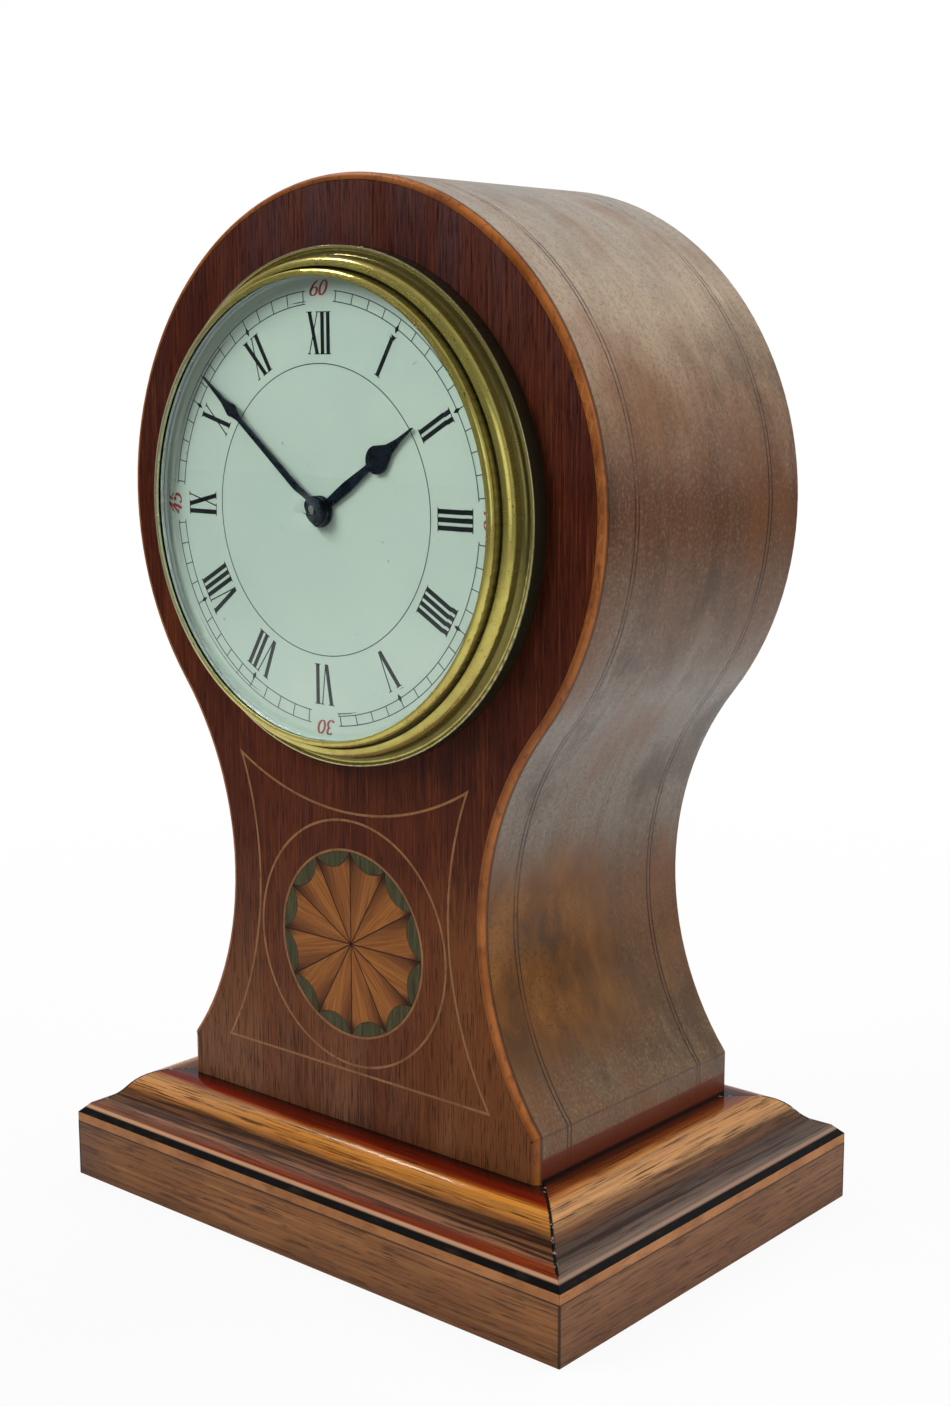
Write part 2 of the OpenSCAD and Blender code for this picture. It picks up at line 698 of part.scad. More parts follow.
module hour_hand() color(blued) difference() {
    slab(hour_boss_y - hand_t, hour_boss_y) at(centre_p) rotate(-hour_at) hour_outline();
    rod(centre_p, pipe_r + push_gap, hour_boss_y - 2 * hand_t, hour_boss_y + 1);
}
module minute_hand() color(blued) difference() {
    slab(minute_boss_y - hand_t, minute_boss_y) at(centre_p) rotate(-minute_at) minute_outline();
    rod(centre_p, cannon_r + push_gap, minute_boss_y - 2 * hand_t, minute_boss_y + 1);
}
module hand_collet() color(blued) difference() {
    rod(centre_p, boss_r - 0.7, cannon_end_y - loose_gap - collet_t, cannon_end_y - loose_gap);
    rod(centre_p, post_r + push_gap, cannon_end_y - 2 * collet_t, cannon_end_y);
}

// Motion work
module motion_pinion(p, turn)
    slab(minute_wheel_y - 0.3, plate_y0 - 0.2) at(p) pinion_teeth(cannon_leaves, minute_m, turn);
module cannon_pinion() color(brass) difference() {
    union() {
        motion_pinion(centre_p, cannon_turn);
        rod(centre_p, cannon_r, cannon_end_y, minute_wheel_y);
    }
    rod(centre_p, post_r + run_gap, cannon_end_y - 1, plate_y0 + 1);
}
module minute_wheel() color(brass) {
    slab(minute_wheel_y, minute_wheel_y + 1) at(minute_p) crossed_wheel(minute_n, minute_m, 2.8);
    slab(hour_wheel_y - 0.5, minute_wheel_y) at(minute_p) pinion_teeth(leaves, hour_m, minute_pinion_turn);
    rod(minute_p, pivot_r, minute_wheel_y, plate_y1);
}
module hour_wheel() color(brass) difference() {
    union() {
        slab(hour_wheel_y, hour_wheel_y + 1) at(centre_p) crossed_wheel(hour_n, hour_m, pipe_r + 1);
        rod(centre_p, pipe_r, hour_boss_y - hand_t, hour_wheel_y + 1);
    }
    rod(centre_p, cannon_r + run_gap, hour_boss_y - 2 * hand_t, plate_y0);
}
module setting_arbor() color(steel) {
    motion_pinion(setting_p, setting_turn);
    rod(setting_p, pivot_r, minute_wheel_y, plate_y1 + 1);
    rod(setting_p, arbor_r, plate_y1 + end_play, rear_plate_y0 - end_play);
    rod(setting_p, pivot_r, plate_y1, reach_y - knob_cap);
}
knob_t = 5;
knob_cap = 1;
knob_ribs = 30;
module setting_knob() color(brass) difference() {
    union() {
        slab(reach_y - knob_t, reach_y) at(setting_p) difference() {
            circle(knob_r);
            for (i = [0 : knob_ribs - 1]) rotate(i * 360 / knob_ribs)
                translate([knob_r + 0.1, 0]) circle(0.35);
        }
        rod(setting_p, 0.45 * knob_r, reach_y - knob_t - 3, reach_y - knob_t);
    }
    rod(setting_p, pivot_r + push_gap, reach_y - 2 * knob_t, reach_y - knob_cap);
}

// Plates of the movement
module front_hole(p, r) hole(p, r, plate_y0, plate_y1);
module back_hole(p, r) hole(p, r, rear_plate_y0, rear_plate_y1);
module front_plate() color(brass) difference() {
    rod(centre_p, front_plate_r, plate_y0, plate_y1);
    for (p = arbors) if (p != centre_p) front_hole(p, pivot_r + run_gap);
    front_hole(centre_p, post_r + run_gap);
    front_hole(minute_p, pivot_r + run_gap);
    front_hole(barrel_p, wind_pivot_r + run_gap);
    for (p = plate_screw_ps) front_hole(p, plate_screw_r + push_gap);
    for (p = dial_foot_ps) front_hole(p, pivot_r + push_gap);
}
module back_plate() color(brass) difference() {
    rod(centre_p, back_plate_r, rear_plate_y0, rear_plate_y1);
    for (p = arbors) if (p != escape_p) back_hole(p, pivot_r + run_gap);
    back_hole(escape_p, 2 * arbor_r);
    back_hole(barrel_p, wind_r + run_gap);
    for (p = concat([click_p], pillar_ps)) back_hole(p, plate_screw_r + push_gap);
    for (p = platform_screw_ps) back_hole(p, platform_screw_r + push_gap);
}
pillar_bite = 4;
module pillars() color(brass) for (p = pillar_ps) difference() {
    rod(p, pillar_r, plate_y1, rear_plate_y0);
    hole(p, plate_screw_r + push_gap, rear_plate_y0 - pillar_bite, rear_plate_y0);
}
module screw(p, r, head_r, seat_y, tip_y, head_t = 1.1) difference() {
    union() {
        rod(p, r, tip_y, seat_y);
        rod(p, head_r, seat_y, seat_y + head_t);
    }
    slab(seat_y + head_t / 2, seat_y + 2 * head_t) at(p) square([3 * head_r, 0.4], center = true);
}
module movement_screws() color(steel) {
    for (p = pillar_ps) screw(p, plate_screw_r, 2, rear_plate_y1, rear_plate_y0 - pillar_bite);
    for (p = plate_screw_ps) screw(p, plate_screw_r, 1.7, plate_y1, plate_y0 - frame_gap);
    for (p = platform_screw_ps) screw(p, platform_screw_r, 1.2, platform_y, rear_plate_y0, 0.6);
    screw(click_p, plate_screw_r, 1.7, click_y1 + loose_gap, rear_plate_y0, 0.8);
}

// Barrel, mainspring and winding work
module spiral(r0, r1, turns, w) {
    steps = 24 * turns;
    polygon(concat(
        [for (i = [0 : steps]) polar([0, 0], 360 * i * turns / steps, r0 + (r1 - r0) * i / steps)],
        [for (i = [steps : -1 : 0]) polar([0, 0], 360 * i * turns / steps, r0 + w + (r1 - r0) * i / steps)]));
}
core_r = 5;
module barrel() color(brass) difference() {
    union() {
        rod(barrel_p, barrel_body_r, barrel_y0, barrel_y1);
        slab(barrel_y1 - tooth_h, barrel_y1) at(barrel_p) wheel_teeth(barrel_n, barrel_m);
    }
    rod(barrel_p, barrel_body_r - barrel_wall, barrel_y0 - 1, barrel_y1 - cap_t);
    rod(barrel_p, wind_r + run_gap, barrel_y0, barrel_y1 + 1);
}
module barrel_cap() color(brass) slab(barrel_y0, barrel_y0 + cap_t) at(barrel_p)
    ring(barrel_body_r - barrel_wall - push_gap, wind_r + run_gap);
module mainspring() color(steel) slab(barrel_y0 + cap_t + 0.4, barrel_y1 - cap_t - 0.4) at(barrel_p)
    spiral(core_r + 0.3, barrel_body_r - barrel_wall - 0.6, 8, 0.35);
module winding_arbor() color(steel) {
    rod(barrel_p, wind_pivot_r, plate_y0, plate_y1 + end_play);
    rod(barrel_p, wind_r, plate_y1 + end_play, rear_plate_y1 + 3);
    rod(barrel_p, core_r, barrel_y0 + cap_t + 0.3, barrel_y1 - cap_t - 0.3);
    slab(rear_plate_y1 + 2, reach_y) at(barrel_p) square(square_w, center = true);
}
ratchet_r = 7.5;
ratchet_y0 = rear_plate_y1 + 0.3;
ratchet_t = 1.6;
module ratchet_wheel() color(steel) slab(ratchet_y0, ratchet_y0 + ratchet_t) at(barrel_p) difference() {
    polygon([for (i = [0 : ratchet_n - 1], k = [0, 1])
        polar([0, 0], (i + 0.1 * k) * 360 / ratchet_n, ratchet_r - (1 - k))]);
    circle(wind_r + push_gap);
}
click_y1 = ratchet_y0 + ratchet_t;
click_clear = 0.2;
click_tip = polar(barrel_p, 100, ratchet_r + click_clear);
click_l = norm(click_tip - click_p);
click_boss_r = 2.2;
module at_click() at(click_p) rotate(angle_of(click_p, click_tip)) children();
module click() color(steel) difference() {
    slab(ratchet_y0, click_y1) at_click() {
        circle(click_boss_r);
        polygon([[1.2, -1.6], [1.2, 1.6], [click_l, 0.5], [click_l, 0]]);
    }
    hole(click_p, plate_screw_r + run_gap, ratchet_y0, click_y1);
}
module click_spring() color(steel) slab(rear_plate_y1, click_y1) at_click() {
    translate([1, click_boss_r + 0.3]) square([click_l + 3, 0.35]);
    translate([click_l + 2.5, click_boss_r + 0.3]) square([2.5, 2.5]);
}

// Going train
module intermediate_wheel() color(brass) {
    arbor(inter_p);
    wheel_layer(inter_p, inter_y) crossed_wheel(wheel_n, inter_m, 3);
    slab(barrel_y1 - tooth_h - pinion_over, barrel_y1 + pinion_over) at(inter_p)
        pinion_teeth(inter_leaves, barrel_m, inter_pinion_turn);
}
module centre_wheel() color(brass) {
    rod(centre_p, arbor_r, plate_y1 + end_play, rear_plate_y0 - end_play);
    rod(centre_p, pivot_r, plate_y1, rear_plate_y1);
    rod(centre_p, post_r, centre_end_y, plate_y1 + 1);
    wheel_layer(centre_p, centre_y) crossed_wheel(wheel_n, centre_m, 3);
    pinion_layer(centre_p, inter_y) pinion_teeth(leaves, inter_m, centre_pinion_turn);
}
module third_wheel() color(brass) {
    arbor(third_p);
    wheel_layer(third_p, third_y) crossed_wheel(third_n, third_m, 2.5);
    pinion_layer(third_p, centre_y) pinion_teeth(leaves, centre_m, third_pinion_turn);
}
module fourth_wheel() color(brass) {
    arbor(fourth_p);
    wheel_layer(fourth_p, fourth_y) crossed_wheel(fourth_n, fourth_m, 2.2);
    pinion_layer(fourth_p, third_y) pinion_teeth(leaves, third_m, fourth_pinion_turn);
}

// Escapement on its platform
module on_platform() at(escape_p) rotate(platform_turn) children();
function platform_at(p) = polar(escape_p, platform_turn + atan2(p[1], p[0]), norm(p));
platform_x0 = -7.2;
platform_x1 = balance_at + balance_r + 5.7;
platform_screw_ps = [for (s = [-1, 1]) platform_at([platform_x1 - 8, s * (platform_hw - 1.6)])];
lever_p = platform_at([lever_at, 0]);
balance_p = platform_at([balance_at, 0]);
jewel_r = 0.35;
escape_arbor_r = 0.6;
module platform() color(brass) difference() {
    slab(rear_plate_y1, platform_y) on_platform()
        translate([platform_x0, -platform_hw]) square([platform_x1 - platform_x0, 2 * platform_hw]);
    hole(escape_p, escape_arbor_r + 0.3, rear_plate_y1, platform_y);
    for (p = [lever_p, balance_p]) hole(p, jewel_r + run_gap, rear_plate_y1, platform_y);
    for (p = platform_screw_ps) hole(p, platform_screw_r + push_gap, rear_plate_y1, platform_y);
}
escape_web_r = 2.6;
module escape_wheel() color(steel) {
    rod(escape_p, escape_arbor_r, plate_y1 + end_play, pallet_cock_y - end_play);
    rod(escape_p, jewel_r, pallet_cock_y - end_play, pallet_cock_y + 0.9);
    rod(escape_p, pivot_r, plate_y0, plate_y1 + end_play);
    pinion_layer(escape_p, fourth_y) pinion_teeth(escape_leaves, fourth_m, escape_pinion_turn);
    slab(lever_y + 0.1, lever_y + 0.7) at(escape_p) difference() {
        polygon([for (i = [0 : escape_n - 1], k = [0 : 2])
            polar([0, 0], (i + [0, 0.42, 0.55][k]) * 360 / escape_n, [escape_r - 1, escape_r, escape_r][k])]);
        difference() {
            ring(escape_web_r, 1.2);
            for (a = [0, 90]) rotate(a) square([2 * escape_web_r, 0.7], center = true);
        }
    }
}

// The pallets stay just outside the escape wheel over the lever's whole swing
lever_swing = 4;
pallet_angle = 33;
pallet_clear = 0.12;
pallet_reach = lever_at * sin(lever_swing) * cos(pallet_angle);
pallet_r = escape_r + pallet_reach + pallet_clear;
fork_end = balance_at - 1.2;
module pallet_lever() color(steel) {
    slab(lever_y, lever_y + 0.8) on_platform() difference() {
        union() {
            translate([lever_at, 0]) circle(1);
            translate([lever_at, -0.4]) square([fork_end - lever_at, 0.8]);
            translate([fork_end - 1.2, -0.9]) square([1.2, 1.8]);
            for (s = [-1, 1]) hull() {
                translate([lever_at, 0]) circle(0.5, $fn = 32);
                rotate(s * pallet_angle) translate([pallet_r + 0.45, 0]) circle(0.4, $fn = 32);
            }
        }
        translate([fork_end - 0.8, -0.3]) square([1, 0.6]);
        circle(pallet_r);
    }
    rod(lever_p, jewel_r, rear_plate_y1 + end_play, pallet_cock_y + 0.9);
}
module pallet_cock() color(brass) difference() {
    union() {
        slab(platform_y, pallet_cock_y) on_platform() translate([platform_x0 + 0.2, -3]) square([2.2, 6]);
        slab(pallet_cock_y, pallet_cock_y + 0.9) on_platform()
            translate([platform_x0 + 0.2, -1.5]) square([lever_at + 1.1 - platform_x0, 3]);
    }
    for (p = [escape_p, lever_p]) rod(p, jewel_r + run_gap, pallet_cock_y - 1, pallet_cock_y + 2);
}
module balance_wheel() color(brass) {
    slab(balance_y, balance_y + 1.2) at(balance_p) {
        ring(balance_r, balance_r - 1);
        rotate(platform_turn) square([2 * balance_r - 1, 1], center = true);
        circle(1.3);
    }
    slab(roller_y, roller_y + 0.7) at(balance_p) circle(2);
    rod(platform_at([balance_at - 1.5, 0]), 0.25, lever_y + 0.95, roller_y);
    rod(balance_p, staff_r, platform_y + end_play, cock_y - end_play);
    rod(balance_p, jewel_r, rear_plate_y1 + end_play, cock_y + cock_t);
}
hairspring_h = 0.6;
hairspring_r = 4.4;
module hairspring() color("#27406a") {
    slab(hairspring_y, hairspring_y + hairspring_h) at(balance_p) rotate(platform_turn)
        spiral(0.9, hairspring_r, 5, 0.15);
    slab(hairspring_y, cock_y) at(platform_at([balance_at + hairspring_r + 0.1, 0])) circle(0.4);
}
cock_foot_x = balance_at + balance_r + 0.8;
module cock_foot() translate([cock_foot_x, -4]) square([platform_x1 - cock_foot_x - 0.2, 8]);
module balance_cock() color(brass) difference() {
    union() {
        slab(platform_y, cock_y) on_platform() cock_foot();
        slab(cock_y, cock_y + cock_t) on_platform() {
            translate([balance_at, 0]) circle(3.4);
            translate([balance_at, -2.2]) square([platform_x1 - balance_at - 0.2, 4.4]);
            cock_foot();
        }
    }
    hole(balance_p, jewel_r + run_gap, cock_y, cock_y + cock_t);
}
module regulator_index() color(steel) slab(index_y, index_y + 0.5) at(balance_p) rotate(platform_turn)
    difference() {
        union() {
            circle(2.2);
            polygon([[0, -0.8], [0, 0.8], [-7.5, 0.25], [-7.5, -0.25]]);
        }
        circle(jewel_r + 0.6);
    }

// Fixing at the back
clamp_head_r = 2.2;
module clamp_screws() color(steel) for (p = clamp_ps) screw(p, clamp_r, clamp_head_r, ring_y, front_y, 1.4);
module knuckle(z0, r_in) translate([hinge_x, hinge_y, axis_z + z0]) difference() {
    cylinder(r = hinge_r, h = knuckle_l);
    translate([0, 0, -1]) cylinder(r = r_in, h = knuckle_l + 2);
}
module knuckle_tab(x0, y0, y1, z0, r_in) difference() {
    translate([min(x0, hinge_x), y0, axis_z + z0]) cube([abs(hinge_x - x0), y1 - y0, knuckle_l]);
    translate([hinge_x, hinge_y, axis_z + z0 - 1]) cylinder(r = r_in, h = knuckle_l + 2);
}
door_knuckle_z = -knuckle_l / 2;
ring_knuckle_zs = [door_knuckle_z - knuckle_l - knuckle_gap, door_knuckle_z + knuckle_l + knuckle_gap];
module rear_ring() color(brass) {
    difference() {
        slab(back_y, ring_y) at(centre_p) ring(rear_r, rear_in_r);
        for (p = clamp_ps) hole(p, clamp_r + loose_gap, back_y, ring_y);
    }
    for (z = ring_knuckle_zs) {
        knuckle(z, hinge_pin_r + push_gap);
        knuckle_tab(hinge_x + hinge_r, ring_y - 0.1, hinge_y, z, hinge_pin_r + push_gap);
    }
}
module hinge_pin() color(steel) translate([hinge_x, hinge_y, axis_z + ring_knuckle_zs[0]])
    cylinder(r = hinge_pin_r, h = 3 * knuckle_l + 2 * knuckle_gap);
panel_r = 36;
panel_rise = 0.8;
knob_at = [-panel_r + 5, 0];
module rear_door() color(brass) difference() {
    union() {
        difference() {
            spun(centre_p, door_y0 + door_t) {
                translate([panel_r, 0]) square([door_r - panel_r, door_t]);
                translate([0, -panel_rise]) square([panel_r + door_t, door_t]);
            }
            translate([hinge_x - hinge_r - 0.3, back_y, axis_z - 2 * knuckle_l])
                cube([4 * hinge_r, 10, 4 * knuckle_l]);
        }
        knuckle(door_knuckle_z, hinge_pin_r + run_gap);
        knuckle_tab(door_r - 1.6, door_y0, door_y0 + door_t, door_knuckle_z, hinge_pin_r + run_gap);
    }
    rod(knob_at, 0.8 + push_gap, back_y, door_y0 + 10);
}
door_knob_r = 2.6;
module door_knob() color(brass) {
    knob_y = door_y0 + door_t + panel_rise;
    rod(knob_at, 0.8, door_y0 + panel_rise, knob_y);
    rod(knob_at, 1.3, knob_y, knob_y + 1.5);
    spun(knob_at, knob_y + 3.2) intersection() {
        circle(door_knob_r);
        translate([0, -1.7]) square([door_knob_r, 3.4]);
    }
}

plinth();
crossband();
ebonised_band();
base_moulding();
base_screws();
case_floor();
front_board();
front_veneer();
back_board();
side_wall_left();
side_wall_right();
edge_stringing();
panel_stringing();
circle_stringing();
patera_border();
patera_petals();
patera_scallops();
movement_ring();
bezel();
bezel_glass();
sight_ring();
dial();
hour_hand();
minute_hand();
hand_collet();
front_plate();
back_plate();
pillars();
movement_screws();
barrel();
barrel_cap();
mainspring();
winding_arbor();
ratchet_wheel();
click();
click_spring();
intermediate_wheel();
centre_wheel();
third_wheel();
fourth_wheel();
escape_wheel();
cannon_pinion();
minute_wheel();
hour_wheel();
setting_arbor();
setting_knob();
platform();
pallet_lever();
pallet_cock();
balance_wheel();
hairspring();
balance_cock();
regulator_index();
clamp_screws();
rear_ring();
hinge_pin();
rear_door();
door_knob();
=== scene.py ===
import math

import bmesh
import bpy
from mathutils import Matrix, Vector


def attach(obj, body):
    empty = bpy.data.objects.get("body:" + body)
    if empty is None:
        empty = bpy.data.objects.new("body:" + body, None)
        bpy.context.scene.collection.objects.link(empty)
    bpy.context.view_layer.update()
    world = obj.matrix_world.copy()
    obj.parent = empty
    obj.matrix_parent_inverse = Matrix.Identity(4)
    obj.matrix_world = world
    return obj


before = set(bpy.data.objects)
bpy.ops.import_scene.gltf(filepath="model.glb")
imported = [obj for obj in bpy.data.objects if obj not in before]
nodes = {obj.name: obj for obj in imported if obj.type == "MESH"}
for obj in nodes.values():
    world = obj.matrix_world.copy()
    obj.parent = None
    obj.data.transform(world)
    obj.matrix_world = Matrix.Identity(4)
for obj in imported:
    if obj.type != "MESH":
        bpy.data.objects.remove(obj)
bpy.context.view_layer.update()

MM = 0.001
scene = bpy.context.scene

# Sizes of the CAD model in millimetres
BASE_W, BASE_D, BASE_H = 151.0, 110.0, 26.2
PLINTH_H, BAND_H, CROSSBAND_H = 15.9, 2.3, 2.2
MOULDING_W = 24.0
CASE_D, BOARD_T, STRING_W = 71.0, 10.5, 1.6
FOOT_UP = 10.2
AXIS_Z, PATERA_Z = 166.6, 68.9
DIAL_PROUD, LIP_PROUD = 6.3, 11.0
FRONT_Y = -CASE_D / 2
DIAL_FACE_Y, LIP_Y = FRONT_Y - DIAL_PROUD, FRONT_Y - LIP_PROUD
ARBOR_R = 2.0
PETALS = 12

# Camera, found by fitting the case and base to the photograph
CAM_AT = (304.84, -347.62, 200.24)
CAM_YAW, CAM_PITCH, CAM_ROLL = 40.64, 9.94, -0.12
FOCAL_PX, IMAGE_H, SENSOR = 2006.17, 1406, 36.0


def make_camera():
    yaw, pitch, roll = (math.radians(a) for a in (CAM_YAW, CAM_PITCH, CAM_ROLL))
    forward = Vector((-math.sin(yaw) * math.cos(pitch), math.cos(yaw) * math.cos(pitch), -math.sin(pitch)))
    level = Vector((math.cos(yaw), math.sin(yaw), 0))
    upward = level.cross(forward)
    right = level * math.cos(roll) + upward * math.sin(roll)
    up = upward * math.cos(roll) - level * math.sin(roll)
    data = bpy.data.cameras.new("camera")
    data.sensor_width = SENSOR
    data.lens = FOCAL_PX / IMAGE_H * SENSOR
    data.clip_start, data.clip_end = 0.01, 100
    cam = bpy.data.objects.new("camera", data)
    turn = Matrix((right, up, -forward)).transposed().to_4x4()
    cam.matrix_world = Matrix.Translation(Vector(CAM_AT) * MM) @ turn
    scene.collection.objects.link(cam)
    scene.camera = cam


# Materials


class Shader:
    """A material with one Principled shader and short calls to add the nodes that feed it."""

    def __init__(self, name, **values):
        self.mat = bpy.data.materials.new(name)
        self.mat.use_nodes = True
        self.tree = self.mat.node_tree
        self.bsdf = self.tree.nodes["Principled BSDF"]
        self.set(**values)
        coords = self.tree.nodes.new("ShaderNodeTexCoord")
        self.place = coords.outputs["Object"]
        split = self.add("ShaderNodeSeparateXYZ", self.place)
        self.x, self.y, self.z = split.outputs

    def set(self, **values):
        for key, value in values.items():
            self.feed(self.bsdf.inputs[key.replace("_", " ")], value)

    def add(self, kind, *inputs, **settings):
        node = self.tree.nodes.new(kind)
        for key, value in settings.items():
            setattr(node, key, value)
        for index, value in enumerate(inputs):
            self.feed(node.inputs[index], value)
        return node

    def feed(self, socket, value):
        if isinstance(value, bpy.types.NodeSocket):
            self.tree.links.new(value, socket)
        elif value is not None:
            socket.default_value = value

    def math(self, operation, *inputs):
        return self.add("ShaderNodeMath", *inputs, operation=operation).outputs[0]

    def times(self, a, b):
        return self.math("MULTIPLY", a, b)

    def length(self, a, b):
        return self.math("SQRT", self.math("ADD", self.times(a, a), self.times(b, b)))

    def smooth(self, value, low, high, to_low=0.0, to_high=1.0):
        """to_low below low, to_high above high, and a smooth step between."""
        node = self.add("ShaderNodeMapRange", value, low, high, to_low, to_high,
                        interpolation_type="SMOOTHSTEP")
        return node.outputs[0]

    def band(self, value, centre, half, soft):
        """1 within half of centre, fading to 0 over soft."""
        away = self.math("ABSOLUTE", self.math("SUBTRACT", value, centre))
        return self.smooth(away, half, half + soft, 1.0, 0.0)

    def noise(self, scale, detail=4.0, rough=0.55, shift=(0, 0, 0), at=None):
        """Noise with its own number of waves per metre along each axis."""
        scaled = self.add("ShaderNodeMapping", at or self.place)
        scaled.inputs["Scale"].default_value = scale
        scaled.inputs["Location"].default_value = shift
        node = self.add("ShaderNodeTexNoise")
        self.feed(node.inputs["Vector"], scaled.outputs[0])
        node.inputs["Scale"].default_value = 1.0
        node.inputs["Detail"].default_value = detail
        node.inputs["Roughness"].default_value = rough
        return node.outputs[0]

    def ramp(self, value, *stops):
        node = self.add("ShaderNodeValToRGB", value)
        points = node.color_ramp.elements
        while len(points) < len(stops):
            points.new(0.5)
        for point, (at, colour) in zip(points, stops):
            point.position = at
            point.color = (*colour, 1)
        return node.outputs[0]

    def spread(self, value, stops):
        """Colours blended between places in millimetres along value."""
        end = stops[-1][0]
        return self.ramp(self.math("DIVIDE", value, end * MM), *((at / end, srgb(*c)) for at, c in stops))

    def mix(self, factor, a, b, blend="MIX"):
        node = self.add("ShaderNodeMix", data_type="RGBA", blend_type=blend)
        colours = [s for s in node.inputs if s.type == "RGBA"]
        self.feed(node.inputs[0], factor)
        for socket, value in zip(colours, (a, b)):
            self.feed(socket, value if isinstance(value, bpy.types.NodeSocket) else (*value, 1))
        return [s for s in node.outputs if s.type == "RGBA"][0]

    def bump(self, height, strength, distance):
        node = self.add("ShaderNodeBump")
        node.inputs["Strength"].default_value = strength
        node.inputs["Distance"].default_value = distance
        self.feed(node.inputs["Height"], height)
        self.set(Normal=node.outputs[0])

    def radius(self, z):
        """Distance from the axis along the depth at height z, in metres."""
        return self.length(self.x, self.math("SUBTRACT", self.z, z))

    def facing_back(self):
        """How far the face looks to the back: 1 on the back, -1 on the front."""
        normal = self.add("ShaderNodeNewGeometry").outputs["True Normal"]
        return self.add("ShaderNodeSeparateXYZ", normal).outputs[1]

    def base_inset(self):
        """Distance in from the outer faces of the base, and 1 on its front and back lengths, 0 on its sides.

        Also keeps the distance from the mitre lines and from the upright corners.
        """
        from_x = self.math("SUBTRACT", BASE_W / 2 * MM, self.math("ABSOLUTE", self.x))
        from_y = self.math("SUBTRACT", BASE_D / 2 * MM, self.math("ABSOLUTE", self.y))
        self.mitre = self.math("SUBTRACT", from_x, from_y)
        self.corner = self.math("ADD", from_x, from_y)
        return self.math("MINIMUM", from_x, from_y), self.math("LESS_THAN", from_y, from_x)

    def along_base(self, along, length, across, detail=5, rough=0.6, shift=(0, 0, 0)):
        """Noise drawn out along each length of the base."""
        sides = self.noise((across, length, across), detail, rough, shift)
        return self.mix(along, sides, self.noise((length, across, across), detail, rough, shift))


def srgb(r, g, b):
    """Linear colour from 0 to 255 values."""
    return tuple(((c / 255 + 0.055) / 1.055) ** 2.4 if c > 10 else c / 255 / 12.92 for c in (r, g, b))


# Colours of the front and of the sides by height in millimetres, with painted reflection in both: the front
# greyer at the top, the sides hazed under the bulge and near the top
FRONT_TONES = ((26, (128, 88, 64)), (50, (116, 72, 44)), (90, (80, 36, 21)), (170, (76, 32, 21)),
               (215, (82, 52, 50)), (238, (88, 62, 62)))
SIDE_TONES = ((26, (108, 78, 54)), (38, (112, 90, 66)), (48, (106, 80, 54)), (82, (104, 74, 54)),
              (96, (126, 114, 102)), (126, (142, 132, 122)), (146, (114, 88, 68)), (172, (102, 68, 46)),
              (190, (142, 111, 85)), (208, (186, 163, 136)), (238, (152, 145, 134)))


def front_mahogany():
    """Straight-grained veneer, warmer at the lower right, with dark pores."""
    s = Shader("front_mahogany", Specular_IOR_Level=0.1)
    streak = s.noise((1700, 900, 40), 5, 0.7)
    pores = s.noise((3000, 900, 130), 4, 0.7)
    cloud = s.noise((34, 20, 12), 4, 0.6)
    wide = s.noise((150, 20, 7), 3, 0.55, (2, 0, 5))
    # The tones by height include a painted reflection that greys the top of the front
    colour = s.spread(s.z, FRONT_TONES)
    colour = s.mix(s.smooth(wide, 0.44, 0.64, 0.0, 0.4), colour, srgb(106, 50, 23))
    colour = s.mix(s.smooth(cloud, 0.44, 0.66, 0.0, 0.6), colour, srgb(70, 26, 15))
    colour = s.mix(s.smooth(streak, 0.50, 0.70, 0.0, 0.55), colour, srgb(132, 68, 37))
    colour = s.mix(s.smooth(streak, 0.34, 0.50, 0.6, 0.0), colour, srgb(44, 17, 10))
    warm = s.times(s.smooth(s.x, 0.004, 0.040), s.smooth(s.z, 0.070, 0.100, 0.4, 0.0))
    colour = s.mix(warm, colour, srgb(140, 84, 40))
    pore = s.smooth(pores, 0.38, 0.50, 0.7, 0.0)
    colour = s.mix(pore, colour, srgb(30, 12, 8))
    s.set(Base_Color=colour, Roughness=s.smooth(cloud, 0.3, 0.7, 0.32, 0.46))
    s.bump(s.math("SUBTRACT", 1.0, pore), 0.3, 0.00006)
    return s.mat


# Double joint lines in the veneer of the sides, as distances from the front and back faces
SEAM_AT = (BOARD_T, BOARD_T + 1.2)
# Heights above the base over which the red polish of the foot and the painted contact shadow at its bottom
# fade
RED_TOP = (FOOT_UP - 5.2, FOOT_UP - 4.6)
CONTACT_SHADOW_TOP = (0.4, 1.3)
# Range of the wander of the side tones, up and down
TONE_DRIFT = 36.0


